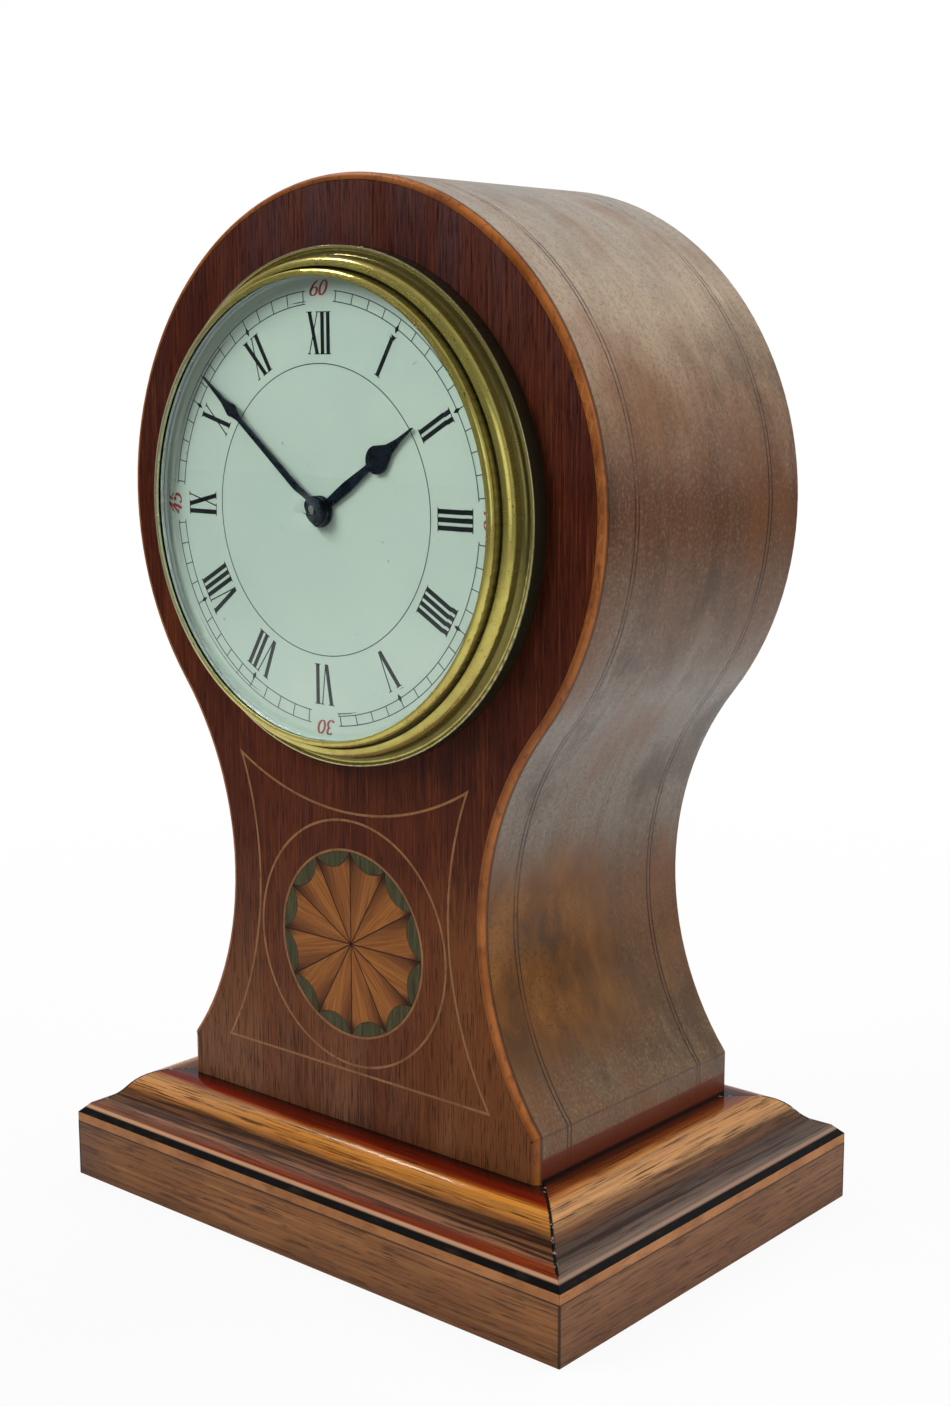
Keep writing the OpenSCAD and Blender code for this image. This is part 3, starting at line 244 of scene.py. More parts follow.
def side_veneer():
    """Veneer with a painted reflection haze in its tones, a golden waist and joint lines; plain board on the
    back.
    """
    s = Shader("side_veneer", Specular_IOR_Level=0.35)
    grain = s.noise((26, 420, 26), 5, 0.6)
    fine = s.noise((80, 2400, 80), 3, 0.6)
    cloud = s.noise((30, 40, 22), 4, 0.6)
    mottle = s.noise((70, 90, 50), 4, 0.6, (3, 1, 7))
    speck = s.noise((1300, 1500, 1300), 3, 0.6)
    drift = s.times(s.math("SUBTRACT", s.noise((36, 50, 30), 4, 0.65, (4, 9, 2)), 0.5), TONE_DRIFT * MM)
    # The tones by height include a painted reflection haze under the bulge and near the top
    colour = s.spread(s.math("ADD", s.z, drift), SIDE_TONES)
    colour = s.mix(s.smooth(grain, 0.34, 0.68, 0.2, 0.0), colour, srgb(66, 38, 22))
    colour = s.mix(s.smooth(speck, 0.36, 0.50, 0.35, 0.0), colour, srgb(58, 42, 32))
    colour = s.mix(s.smooth(speck, 0.54, 0.66, 0.0, 0.22), colour, srgb(176, 152, 128))
    colour = s.mix(s.smooth(cloud, 0.46, 0.66, 0.0, 0.45), colour, srgb(120, 72, 38))
    blotch = s.times(s.smooth(cloud, 0.32, 0.46, 0.6, 0.0), s.smooth(s.z, 0.185, 0.215, 1.0, 0.3))
    colour = s.mix(blotch, colour, srgb(66, 48, 36))
    golden = s.ramp(mottle, (0.34, srgb(80, 50, 18)), (0.50, srgb(112, 68, 20)), (0.66, srgb(134, 86, 30)))
    waist = s.times(s.smooth(s.z, 0.040, 0.058), s.smooth(s.z, 0.080, 0.100, 1.0, 0.0))
    waist = s.times(waist, s.smooth(s.y, -0.008, 0.016, 1.0, 0.25))
    colour = s.mix(s.times(waist, 0.95), colour, golden)
    colour = s.mix(s.times(waist, s.smooth(speck, 0.52, 0.66, 0.0, 0.5)), colour, srgb(40, 34, 20))
    colour = s.mix(s.smooth(fine, 0.30, 0.42, 0.3, 0.0), colour, srgb(46, 26, 15))
    from_face = s.math("SUBTRACT", CASE_D / 2 * MM, s.math("ABSOLUTE", s.y))
    worn = s.smooth(s.noise((60, 60, 60), 3, 0.6, (5, 2, 8)), 0.35, 0.55)
    for seam_at in SEAM_AT:
        seam = s.band(from_face, seam_at * MM, 0.0001, 0.0002)
        colour = s.mix(s.times(seam, s.math("ADD", 0.45, s.times(worn, 0.4))), colour, srgb(32, 19, 12))
    from_front = s.math("SUBTRACT", s.y, FRONT_Y * MM)
    joint = s.smooth(from_front, (STRING_W + 0.1) * MM, (STRING_W + 0.45) * MM, 0.85, 0.0)
    colour = s.mix(joint, colour, srgb(26, 16, 10))
    kink = s.band(s.z, (BASE_H + FOOT_UP) * MM, 0.00008, 0.0003)
    colour = s.mix(s.times(kink, 0.5), colour, srgb(54, 30, 18))
    foot = s.smooth(s.z, *((BASE_H + up) * MM for up in RED_TOP), 0.9, 0.0)
    colour = s.mix(foot, colour, srgb(90, 31, 10))
    # Painted shadow along the bottom of the case, where it stands on the base
    ground = s.smooth(s.z, *((BASE_H + up) * MM for up in CONTACT_SHADOW_TOP), 0.95, 0.0)
    colour = s.mix(ground, colour, srgb(16, 9, 6))
    plain = s.noise((420, 100, 22), 5, 0.62, (1, 0, 3))
    board = s.ramp(plain, (0.32, srgb(62, 36, 22)), (0.50, srgb(90, 56, 36)), (0.70, srgb(112, 74, 48)))
    colour = s.mix(s.smooth(s.facing_back(), 0.6, 0.8), colour, board)
    s.set(Base_Color=colour, Roughness=s.smooth(cloud, 0.3, 0.7, 0.24, 0.36))
    s.bump(s.math("ADD", grain, s.times(fine, 0.5)), 0.08, 0.00008)
    return s.mat


def plinth_wood():
    """Brown wood with the grain along each face, duller at the left end and on the sides."""
    s = Shader("plinth_wood", Specular_IOR_Level=0.3)
    _, along = s.base_inset()
    streak = s.along_base(along, 20, 1300, 5, 0.66)
    pores = s.along_base(along, 110, 2300, 4, 0.65)
    patch = s.noise((30, 30, 80), 3, 0.6)
    colour = s.ramp(streak, (0.30, srgb(98, 58, 30)), (0.50, srgb(144, 92, 48)), (0.70, srgb(168, 114, 64)))
    colour = s.mix(s.smooth(patch, 0.42, 0.68, 0.0, 0.5), colour, srgb(106, 68, 42))
    colour = s.mix(s.smooth(s.z, 0.0, 0.007, 0.45, 0.0), colour, srgb(78, 48, 32))
    colour = s.mix(s.smooth(s.x, -BASE_W / 2 * MM, -0.055, 0.5, 0.0), colour, srgb(74, 52, 44))
    colour = s.mix(s.math("SUBTRACT", 0.45, s.times(along, 0.45)), colour, srgb(96, 70, 56))
    pore = s.smooth(pores, 0.36, 0.48, 0.75, 0.0)
    colour = s.mix(pore, colour, srgb(54, 31, 18))
    line = s.band(s.z, (PLINTH_H - CROSSBAND_H) * MM, 0.0002, 0.0004)
    colour = s.mix(s.times(line, 0.85), colour, srgb(40, 24, 14))
    corner = s.smooth(s.corner, 0.0002, 0.0007, 0.9, 0.0)
    colour = s.mix(corner, colour, srgb(26, 17, 12))
    s.set(Base_Color=colour, Roughness=s.smooth(patch, 0.3, 0.7, 0.38, 0.52))
    s.bump(s.math("SUBTRACT", 1.0, pore), 0.25, 0.00006)
    return s.mat


# Colours across the moulding, by millimetres in from its lip, on the front and on the sides: the polish, with
# a painted reflection brightening the crown and painted shade darkening it against the case
FRONT_POLISH_AND_PAINTED_LIGHT = ((2.3, (104, 50, 28)), (3.2, (128, 76, 48)), (4.4, (150, 106, 76)), (6.0, (118, 78, 50)),
                (7.8, (98, 62, 36)), (9.4, (192, 124, 52)), (12.2, (208, 140, 62)), (12.9, (150, 62, 18)),
                (13.8, (116, 28, 8)), (17.2, (78, 16, 6)), (19.0, (30, 9, 5)))
SIDE_POLISH_AND_PAINTED_LIGHT = ((2.3, (112, 92, 80)), (3.4, (92, 78, 70)), (6.8, (70, 54, 46)), (8.6, (104, 70, 44)),
               (10.6, (198, 146, 94)), (14.6, (188, 130, 74)), (16.6, (138, 70, 22)), (19.4, (84, 34, 12)),
               (22.0, (28, 14, 8)))


def moulding_wood():
    """Worn polish in bands along each length, with a painted reflection on the crown, painted shade against
    the case, and open mitres.
    """
    s = Shader("moulding_wood", Specular_IOR_Level=0.35)
    inset, along = s.base_inset()
    streak = s.along_base(along, 20, 1100, 6, 0.7)
    fibre = s.along_base(along, 60, 2300, 4, 0.65, (1, 4, 2))
    patch = s.noise((40, 40, 40), 3, 0.6)
    wander = s.times(s.math("SUBTRACT", s.along_base(along, 12, 160, 3, 0.6, (7, 7, 1)), 0.5), 3.0 * MM)
    across = s.mix(s.smooth(inset, 2.6 * MM, 4.2 * MM), inset, s.math("ADD", inset, wander))
    front = s.spread(across, FRONT_POLISH_AND_PAINTED_LIGHT)
    side = s.spread(across, SIDE_POLISH_AND_PAINTED_LIGHT)
    red = s.times(s.smooth(inset, 3.4 * MM, 5.2 * MM, 1.0, 0.0), s.smooth(s.x, -0.06, 0.03))
    front = s.mix(s.times(red, 0.8), front, srgb(132, 46, 12))
    # Pale band on the front crown, partly the wood's colour and partly a painted reflection
    pale = s.times(s.band(inset, 11.4 * MM, 1.4 * MM, 1.6 * MM), s.smooth(s.x, -0.06, 0.0, 0.55, 0.0))
    front = s.mix(pale, front, srgb(204, 156, 112))
    colour = s.mix(along, side, front)
    hollow = s.band(inset, 6.4 * MM, 1.2 * MM, 2.6 * MM)
    dark = s.math("ADD", 0.3, s.times(hollow, 0.6))
    colour = s.mix(s.times(s.smooth(streak, 0.40, 0.54, 1.0, 0.0), dark), colour, srgb(36, 20, 12))
    colour = s.mix(s.times(s.smooth(streak, 0.52, 0.66), 0.6), colour, srgb(226, 180, 122), "SOFT_LIGHT")
    colour = s.mix(s.smooth(fibre, 0.36, 0.48, 0.8, 0.0), colour, srgb(46, 22, 12))
    gap = s.band(s.mitre, 0.0, 0.0003, 0.0004)
    chip = s.smooth(s.noise((700, 700, 700), 3, 0.6), 0.56, 0.62)
    colour = s.mix(gap, colour, s.mix(chip, srgb(14, 10, 8), srgb(170, 160, 140)))
    dull = s.times(s.band(inset, 5.8 * MM, 2.4 * MM, 2.0 * MM), 0.4)
    s.set(Base_Color=colour, Roughness=s.math("ADD", s.smooth(patch, 0.3, 0.7, 0.1, 0.18), dull))
    s.bump(s.math("ADD", streak, s.times(fibre, 0.8)), 0.14, 0.0001)
    return s.mat


# Brightness of the flecks as a share of the darker colour
FLECK_SHADE = 0.35


def boxwood_shader(name, dark, light, fleck_scale=(900, 900, 260)):
    """Pale wood with short dark flecks."""
    s = Shader(name, Roughness=0.4, Specular_IOR_Level=0.3)
    patch = s.noise((90, 90, 90), 4, 0.6)
    fleck = s.noise(fleck_scale, 3, 0.6)
    colour = s.mix(s.smooth(patch, 0.3, 0.7), dark, light)
    s.colour = s.mix(s.smooth(fleck, 0.34, 0.46, 0.5, 0.0), colour, tuple(c * FLECK_SHADE for c in dark))
    s.set(Base_Color=s.colour)
    s.bump(fleck, 0.1, 0.00005)
    return s


def boxwood(*args):
    return boxwood_shader(*args).mat


def string_wood():
    """Edge string whose rounded borders darken into the dark joints beside it, a painted shade that follows
    which way the round faces and leaves its crest lighter.
    """
    s = boxwood_shader("boxwood_edge", srgb(146, 80, 30), srgb(184, 110, 50))
    front = s.math("ABSOLUTE", s.facing_back())
    colour = s.mix(s.smooth(front, 0.72, 1.0, 0.0, 0.45), s.colour, srgb(70, 32, 18))
    colour = s.mix(s.smooth(front, 0.22, 0.40, 0.75, 0.0), colour, srgb(64, 38, 22))
    s.set(Base_Color=colour)
    return s.mat


# Height of the top of the black on the band, and of the painted highlight line above it
BLACK_TOP, PAINTED_HIGHLIGHT_TOP = PLINTH_H + 1.3, PLINTH_H + 1.85


def ebonised():
    """Black below, a painted highlight line above it and the polish of the moulding at the top."""
    s = Shader("ebonised_wood", Specular_IOR_Level=0.12)
    _, along = s.base_inset()
    wear = s.noise((160, 160, 700), 4, 0.6)
    black = s.mix(s.smooth(wear, 0.52, 0.75, 0.0, 0.5), srgb(18, 17, 17), srgb(58, 50, 42))
    # A light line painted along the lip's edge as a highlight
    painted_highlight = s.mix(along, srgb(150, 122, 104), srgb(192, 146, 114))
    red = s.mix(s.smooth(s.x, -0.07, -0.02), srgb(126, 84, 60), srgb(122, 44, 14))
    edge = s.mix(along, srgb(110, 92, 80), red)
    colour = s.mix(s.smooth(s.z, (BLACK_TOP - 0.2) * MM, (BLACK_TOP + 0.2) * MM), black, painted_highlight)
    colour = s.mix(s.smooth(s.z, (PAINTED_HIGHLIGHT_TOP - 0.1) * MM, (PAINTED_HIGHLIGHT_TOP + 0.2) * MM), colour, edge)
    s.set(Base_Color=colour, Roughness=s.smooth(wear, 0.3, 0.7, 0.5, 0.7))
    s.bump(wear, 0.25, 0.0001)
    return s.mat


def petal_wood():
    """Petals cut with the grain along each, shaded to one side and scorched at their outer points."""
    s = Shader("petal_wood", Roughness=0.42, Specular_IOR_Level=0.15)
    up = s.math("SUBTRACT", s.z, PATERA_Z * MM)
    turn = s.times(s.math("ARCTAN2", up, s.x), PETALS / (2 * math.pi))
    part = s.math("FRACT", turn)
    r = s.radius(PATERA_Z * MM)
    own = s.add("ShaderNodeTexWhiteNoise", noise_dimensions="1D")
    s.feed(own.inputs["W"], s.math("FLOOR", turn))
    off = s.times(s.math("SUBTRACT", part, 0.5), 2 * math.pi / PETALS)
    cut = s.add("ShaderNodeCombineXYZ", s.times(r, s.math("SINE", off)), s.times(r, s.math("COSINE", off)),
                own.outputs[0]).outputs[0]
    grain = s.noise((2200, 70, 40), 5, 0.66, at=cut)
    colour = s.ramp(grain, (0.30, srgb(112, 62, 26)), (0.50, srgb(150, 92, 42)), (0.70, srgb(176, 116, 60)))
    colour = s.mix(s.times(own.outputs[0], 0.4), colour, srgb(118, 70, 34))
    shade = s.times(s.smooth(part, 0.40, 1.0), s.smooth(r, 0.004, 0.019, 0.25, 0.85))
    colour = s.mix(shade, colour, srgb(78, 40, 20))
    from_joint = s.math("SUBTRACT", 0.5, s.math("ABSOLUTE", s.math("SUBTRACT", part, 0.5)))
    away = s.times(s.times(from_joint, r), 2 * math.pi / PETALS)
    joint = s.smooth(away, 0.00006, 0.00026, 0.9, 0.0)
    colour = s.mix(joint, colour, srgb(36, 19, 11))
    scorch = s.times(s.smooth(from_joint, 0.04, 0.24, 1.0, 0.0), s.smooth(r, 0.0165, 0.0205))
    colour = s.mix(s.times(scorch, 0.85), colour, srgb(40, 20, 12))
    s.set(Base_Color=colour)
    s.bump(grain, 0.08, 0.00005)
    return s.mat


def stained_wood():
    """Green-stained sycamore."""
    s = Shader("stained_wood", Roughness=0.42, Specular_IOR_Level=0.15)
    grain = s.noise((1400, 900, 90), 4, 0.6)
    patch = s.noise((90, 90, 90), 3)
    colour = s.ramp(grain, (0.32, srgb(46, 43, 25)), (0.52, srgb(70, 67, 42)), (0.72, srgb(90, 87, 60)))
    s.set(Base_Color=s.mix(s.smooth(patch, 0.45, 0.7, 0.0, 0.5), colour, srgb(66, 64, 46)))
    s.bump(grain, 0.08, 0.00005)
    return s.mat


# Radii of the bezel's groove, cove and rim, of its lip's inner wall, and of the rear door's edge
GROOVE_R, COVE_R, RIM_R = 51.1, 54.0, 55.5
LIP_R, DOOR_R = 49.3, 42.2


def gilt_brass():
    """Lacquered brass with turned lines, specks and a darker cove; painted shade in the groove, lip gap and
    outer wall; painted highlights on rim and left.
    """
    s = Shader("gilt_brass", Metallic=0.75)
    r = s.radius(AXIS_Z * MM)
    turn = s.math("ARCTAN2", s.math("SUBTRACT", s.z, AXIS_Z * MM), s.x)
    stain = s.noise((240, 240, 240), 5, 0.65)
    speck = s.noise((1700, 1700, 1700), 2, 0.5)
    drift = s.noise((60, 60, 60), 3, 0.6)
    lathe = s.add("ShaderNodeCombineXYZ", r, s.y, s.times(turn, 5 * MM)).outputs[0]
    lines = s.noise((2600, 2600, 400), 4, 0.65, at=lathe)
    colour = s.mix(s.smooth(stain, 0.38, 0.68), srgb(220, 209, 114), srgb(206, 192, 100))
    colour = s.mix(s.smooth(drift, 0.44, 0.68, 0.0, 0.35), colour, srgb(190, 160, 90))
    colour = s.mix(s.smooth(lines, 0.30, 0.40, 0.35, 0.0), colour, srgb(130, 98, 48))
    front = s.math("LESS_THAN", s.y, 0.0)
    # Painted highlight: the front of the bezel paler towards the left
    left = s.smooth(s.x, -0.046, -0.02, 0.7, 0.0)
    colour = s.mix(s.times(left, front), colour, srgb(232, 228, 196))
    cove = s.times(s.band(r, COVE_R * MM, 0.6 * MM, 0.1 * MM), front)
    colour = s.mix(s.times(cove, 0.8), colour, srgb(86, 76, 42))
    # Painted dark reflection and shade in the groove
    groove = s.times(s.band(r, GROOVE_R * MM, 0.25 * MM, 0.15 * MM), front)
    colour = s.mix(s.times(groove, 0.95), colour, srgb(40, 28, 16))
    # Painted highlight along the rim
    rim = s.times(s.smooth(r, (RIM_R - 0.5) * MM, RIM_R * MM), front)
    colour = s.mix(s.times(rim, 0.6), colour, srgb(206, 198, 160))
    # Painted shadow and dark reflection on the outer wall
    wall = s.times(s.smooth(r, (RIM_R + 0.2) * MM, (RIM_R + 0.36) * MM), front)
    colour = s.mix(s.times(wall, 0.92), colour, srgb(34, 33, 30))
    inner = s.times(s.smooth(r, (LIP_R + 0.03) * MM, (LIP_R + 0.06) * MM, 1.0, 0.0), front)
    deep = s.math("SUBTRACT", s.y, LIP_Y * MM)
    colour = s.mix(s.times(inner, s.smooth(deep, 0.0010, 0.0013)), colour, srgb(226, 234, 232))
    # Painted shade in the gap between the lip and the glass
    colour = s.mix(s.times(inner, s.band(deep, 0.0009, 0.0003, 0.0001)), colour, srgb(20, 22, 10))
    door = s.times(s.band(r, DOOR_R * MM, 0.15 * MM, 0.2 * MM), s.math("SUBTRACT", 1.0, front))
    colour = s.mix(s.times(door, 0.8), colour, srgb(58, 44, 20))
    colour = s.mix(s.smooth(speck, 0.66, 0.74, 0.0, 0.9), colour, srgb(56, 40, 18))
    s.set(Base_Color=colour, Roughness=s.smooth(stain, 0.3, 0.7, 0.2, 0.28))
    s.bump(lines, 0.01, 0.00004)
    return s.mat


def silvered():
    """Dull silvered brass."""
    s = Shader("silvered_brass", Metallic=0.5)
    cloud = s.noise((160, 160, 160), 4, 0.6)
    s.set(Base_Color=s.mix(s.smooth(cloud, 0.3, 0.7), srgb(206, 216, 216), srgb(226, 234, 232)),
          Roughness=s.smooth(cloud, 0.3, 0.7, 0.3, 0.42))
    s.bump(cloud, 0.02, 0.00005)
    return s.mat


def movement_brass(name, arbor_r=0.0):
    """Brass, with a steel arbor along the dial's axis where arbor_r is given."""
    s = Shader(name, Metallic=1.0)
    stain = s.noise((180, 180, 180), 5, 0.6)
    brushed = s.noise((160, 160, 3000), 3, 0.6)
    colour = s.mix(s.smooth(stain, 0.3, 0.7), srgb(206, 180, 108), srgb(170, 140, 74))
    if arbor_r:
        arbor = s.smooth(s.radius(AXIS_Z * MM), arbor_r * MM, (arbor_r + 0.1) * MM, 1.0, 0.0)
        colour = s.mix(arbor, colour, srgb(150, 152, 150))
    s.set(Base_Color=colour, Roughness=s.smooth(stain, 0.3, 0.7, 0.22, 0.36))
    s.bump(brushed, 0.1, 0.00005)
    return s.mat


def steel(name, dark, light, rough):
    """Ground steel between two colours, bright or blued."""
    s = Shader(name, Metallic=1.0)
    grain = s.noise((900, 300, 900), 4, 0.6)
    s.set(Base_Color=s.mix(s.smooth(grain, 0.3, 0.7), dark, light),
          Roughness=s.smooth(grain, 0.3, 0.7, rough, rough + 0.14))
    s.bump(grain, 0.06, 0.00004)
    return s.mat


def enamel():
    """Pale green-white enamel with a few specks."""
    s = Shader("enamel", Roughness=0.3, Specular_IOR_Level=0.3)
    tone = s.noise((30, 30, 30), 3)
    speck = s.noise((650, 650, 650), 1, 0.4)
    ripple = s.noise((260, 260, 260), 3)
    colour = s.mix(s.smooth(tone, 0.3, 0.7), srgb(181, 197, 186), srgb(187, 201, 188))
    s.set(Base_Color=s.mix(s.smooth(speck, 0.765, 0.80, 0.0, 0.6), colour, srgb(130, 122, 104)))
    s.bump(ripple, 0.05, 0.0001)
    return s.mat


def print_ink(name, colour):
    s = Shader(name, Roughness=0.5, Specular_IOR_Level=0.1)
    wear = s.noise((1500, 1500, 1500), 2)
    s.set(Base_Color=s.mix(s.smooth(wear, 0.3, 0.7, 0.0, 0.3), colour, tuple(c + 0.01 for c in colour)))
    return s.mat


def clear_glass():
    """Glass that lets light from the lamps straight through to the dial."""
    s = Shader("clear_glass", Roughness=0.0, Transmission_Weight=1.0, IOR=1.5)
    tint = s.noise((20, 20, 20), 2)
    s.set(Base_Color=s.mix(s.smooth(tint, 0.3, 0.7), srgb(246, 251, 249), srgb(249, 253, 251)))
    out = s.tree.nodes["Material Output"]
    clear = s.add("ShaderNodeBsdfTransparent", (0.94, 0.96, 0.95, 1))
    path = s.add("ShaderNodeLightPath")
    both = s.add("ShaderNodeMixShader", path.outputs["Is Shadow Ray"], s.bsdf.outputs[0], clear.outputs[0])
    s.tree.links.new(both.outputs[0], out.inputs["Surface"])
    return s.mat


def dress(material, *names):
    """Give the named CAD nodes one material."""
    for name in names:
        slots = nodes[name].material_slots
        for slot in slots:
            slot.material = material
        if not slots:
            nodes[name].data.materials.append(material)


# Flat printing on the dial


# Thickness of the print
PRINT_T = 0.03


def printed(name, outlines, material, y, body="case"):
    """Thin flat pieces from outlines of (across, up) points in millimetres, lying on the plane y."""
    mesh = bpy.data.meshes.new(name)
    bm = bmesh.new()
    for outline in outlines:
        corners = [bm.verts.new((u * MM, y * MM, v * MM)) for u, v in outline]
        face = bm.faces.new(corners)
        grown = bmesh.ops.extrude_face_region(bm, geom=[face])
        moved = [v for v in grown["geom"] if isinstance(v, bmesh.types.BMVert)]
        bmesh.ops.translate(bm, vec=(0, -PRINT_T * MM, 0), verts=moved)
    bmesh.ops.recalc_face_normals(bm, faces=bm.faces)
    bm.to_mesh(mesh)
    bm.free()
    piece = bpy.data.objects.new(name, mesh)
    piece.data.materials.append(material)
    scene.collection.objects.link(piece)
    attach(piece, body)


def polar(angle, r):
    """A point on the dial, with the angle in degrees clockwise from twelve."""
    a = math.radians(angle)
    return r * math.sin(a), AXIS_Z + r * math.cos(a)


def on_dial(u, v, angle):
    """A point of a figure that stands upright at angle, with v measured from the dial's centre."""
    a = math.radians(angle)
    return u * math.cos(a) + v * math.sin(a), AXIS_Z + v * math.cos(a) - u * math.sin(a)


def arc_strip(r0, r1, a0, a1, steps):
    """Outline of a strip between two radii and two angles."""
    angles = [a0 + (a1 - a0) * i / steps for i in range(steps + 1)]
    return [polar(a, r0) for a in angles] + [polar(a, r1) for a in reversed(angles)]


# Roman numerals: advance, and strokes between two points (across, share of the height), each with a
# width across
NUMERAL_H, THICK, THIN, SERIF, OVER = 8.9, 1.02, 0.28, 0.2, 0.34
GLYPHS = {
    "I": (1.68, [((0, 0), (0, 1), THICK)]),
    "V": (3.8, [((-1.35, 1), (0.1, 0), THICK), ((1.4, 1), (0.35, 0), THIN)]),
    "X": (3.6, [((-1.1, 1), (1.1, 0), THICK), ((1.25, 1), (-1.25, 0), THIN)]),
}
HOURS = ["XII", "I", "II", "III", "IIII", "V", "VI", "VII", "VIII", "IX", "X", "XI"]


def numeral(text, angle, foot_r):
    """Outlines of a numeral that stands with its feet towards the centre."""
    width = sum(GLYPHS[c][0] for c in text)
    at = -width / 2
    flat = []
    for c in text:
        advance, strokes = GLYPHS[c]
        middle = at + advance / 2
        at += advance
        for (u0, v0), (u1, v1), w in strokes:
            (x0, z0), (x1, z1) = (middle + u0, v0 * NUMERAL_H), (middle + u1, v1 * NUMERAL_H)
            flat.append([(x0 - w / 2, z0), (x0 + w / 2, z0), (x1 + w / 2, z1), (x1 - w / 2, z1)])
            for x, z in ((x0, z0), (x1, z1)):
                if c == "V" and z == 0:
                    continue
                half = w / 2 + OVER
                low = 0 if z == 0 else NUMERAL_H - SERIF
                high = low + SERIF
                flat.append([(x - half, low), (x + half, low), (x + half, high), (x - half, high)])
    return [[on_dial(u, foot_r + v, angle) for u, v in outline] for outline in flat]


# Radii of the minute track and the width of its lines
TRACK_IN, TRACK_OUT, LINE = 43.5, 45.8, 0.22
# Radii of the inner circle and of the feet of the numerals
CHAPTER_R, NUMERAL_R = 31.0, 33.0
# Degrees kept free on each side of a quarter
QUARTER_GAP = 5.2
# Reach of a five-minute mark in and out from the track, and in degrees to each side
MARK_IN, MARK_OUT, MARK_SIDE = 1.0, 1.2, 0.65
CHAPTER_STEPS, TRACK_STEPS = 240, 60

# Slanted numbers drawn with a broad pen, on a box one high: points, and bows given by their centre, radii and
# first and last angle
NUMBER_H, NUMBER_R, NUMBER_SLANT, NUMBER_STEP = 3.5, 44.7, 0.3, 0.7
PEN_THIN, PEN_WIDE, BOW_STEPS = 0.05, 0.19, 24
DIGITS = {
    "0": [(0.31, 0.5, 0.26, 0.45, 0, 360)],
    "1": [(0.10, 0.80), (0.32, 0.97), (0.32, 0.0)],
    "3": [(0.28, 0.74, 0.21, 0.22, 150, -90), (0.28, 0.26, 0.25, 0.26, 90, -150)],
    "4": [(0.60, 0.28), (0.03, 0.28), (0.45, 1.0), (0.45, 0.0)],
    "5": [(0.56, 0.96), (0.16, 0.96), (0.12, 0.54), (0.28, 0.30, 0.25, 0.28, 120, -150)],
    "6": [(0.60, 0.26, 0.55, 0.70, 105, 180), (0.31, 0.27, 0.26, 0.26, 180, 540)],
}


def pen_path(parts):
    """Points along a digit: single points, and bows turned into short steps."""
    points = []
    for part in parts:
        if len(part) == 2:
            points.append(part)
            continue
        u, v, a, b, first, last = part
        for i in range(BOW_STEPS + 1):
            t = math.radians(first + (last - first) * i / BOW_STEPS)
            points.append((u + a * math.cos(t), v + b * math.sin(t)))
    return points


def pen_strokes(points):
    """Four-cornered pieces along a path, wide where it runs up or down and thin where it runs across."""
    pieces = []
    for (u0, v0), (u1, v1) in zip(points, points[1:]):
        length = math.hypot(u1 - u0, v1 - v0)
        if length < 1e-6:
            continue
        half = (PEN_THIN + (PEN_WIDE - PEN_THIN) * abs(v1 - v0) / length) / 2
        du, dv = -(v1 - v0) / length * half, (u1 - u0) / length * half
        pieces.append([(u0 + du, v0 + dv), (u0 - du, v0 - dv), (u1 - du, v1 - dv), (u1 + du, v1 + dv)])
    return pieces


def minute_number(text, angle):
    """Outlines of a slanted number that stands outwards at angle."""
    pieces = []
    for i, digit in enumerate(text):
        left = (i - len(text) / 2) * NUMBER_STEP
        for stroke in pen_strokes(pen_path(DIGITS[digit])):
            slanted = [(left + u + (v - 0.5) * NUMBER_SLANT, v) for u, v in stroke]
            pieces.append([on_dial(u * NUMBER_H, NUMBER_R + v * NUMBER_H, angle) for u, v in slanted])
    return pieces


def dial_printing():
    """Numerals, minute track, five-minute marks and minute numbers."""
    ink = print_ink("black_ink", srgb(8, 15, 20))
    grey = print_ink("grey_ink", srgb(60, 68, 68))
    red = print_ink("red_ink", srgb(156, 62, 58))
    y = DIAL_FACE_Y
    for hour, text in enumerate(HOURS):
        printed("numeral_%d" % (hour or 12), numeral(text, 30 * hour, NUMERAL_R), ink, y)
    lines = [arc_strip(CHAPTER_R, CHAPTER_R + LINE, 0, 360 - 1e-3, CHAPTER_STEPS)]
    for quarter in range(4):
        a0, a1 = 90 * quarter + QUARTER_GAP, 90 * quarter + 90 - QUARTER_GAP
        for r in (TRACK_IN, TRACK_OUT):
            lines.append(arc_strip(r, r + LINE, a0, a1, TRACK_STEPS))
    for minute in range(60):
        a = 6 * minute
        if min(a % 90, 90 - a % 90) < QUARTER_GAP:
            continue
        half = math.degrees(LINE / 2 / TRACK_IN)
        lines.append(arc_strip(TRACK_IN + LINE, TRACK_OUT, a - half, a + half, 1))
    printed("minute_track", lines, grey, y)
    marks = []
    for five in range(12):
        if five % 3:
            a = 30 * five
            marks.append([polar(a, TRACK_IN - MARK_IN), polar(a + MARK_SIDE, TRACK_IN),
                          polar(a, TRACK_IN + MARK_OUT), polar(a - MARK_SIDE, TRACK_IN)])
    printed("five_minute_marks", marks, ink, y - PRINT_T)
    for text, angle in (("60", 0), ("15", 90), ("30", 180), ("45", 270)):
        printed("number_" + text, minute_number(text, angle), red, y)


# Light, floor and background


# Strength of the world in front of and behind the object, and of what polished surfaces mirror of the latter
ROOM, BACKDROP, MIRRORED_BACKDROP = 0.05, 0.3, 0.5

# Half width of the floor and its drop below the object in metres, and its colours near and far
FLOOR_HALF, FLOOR_DROP = 6.0, 0.0002
FLOOR_NEAR, FLOOR_FAR = (0.7,) * 3, (0.1,) * 3

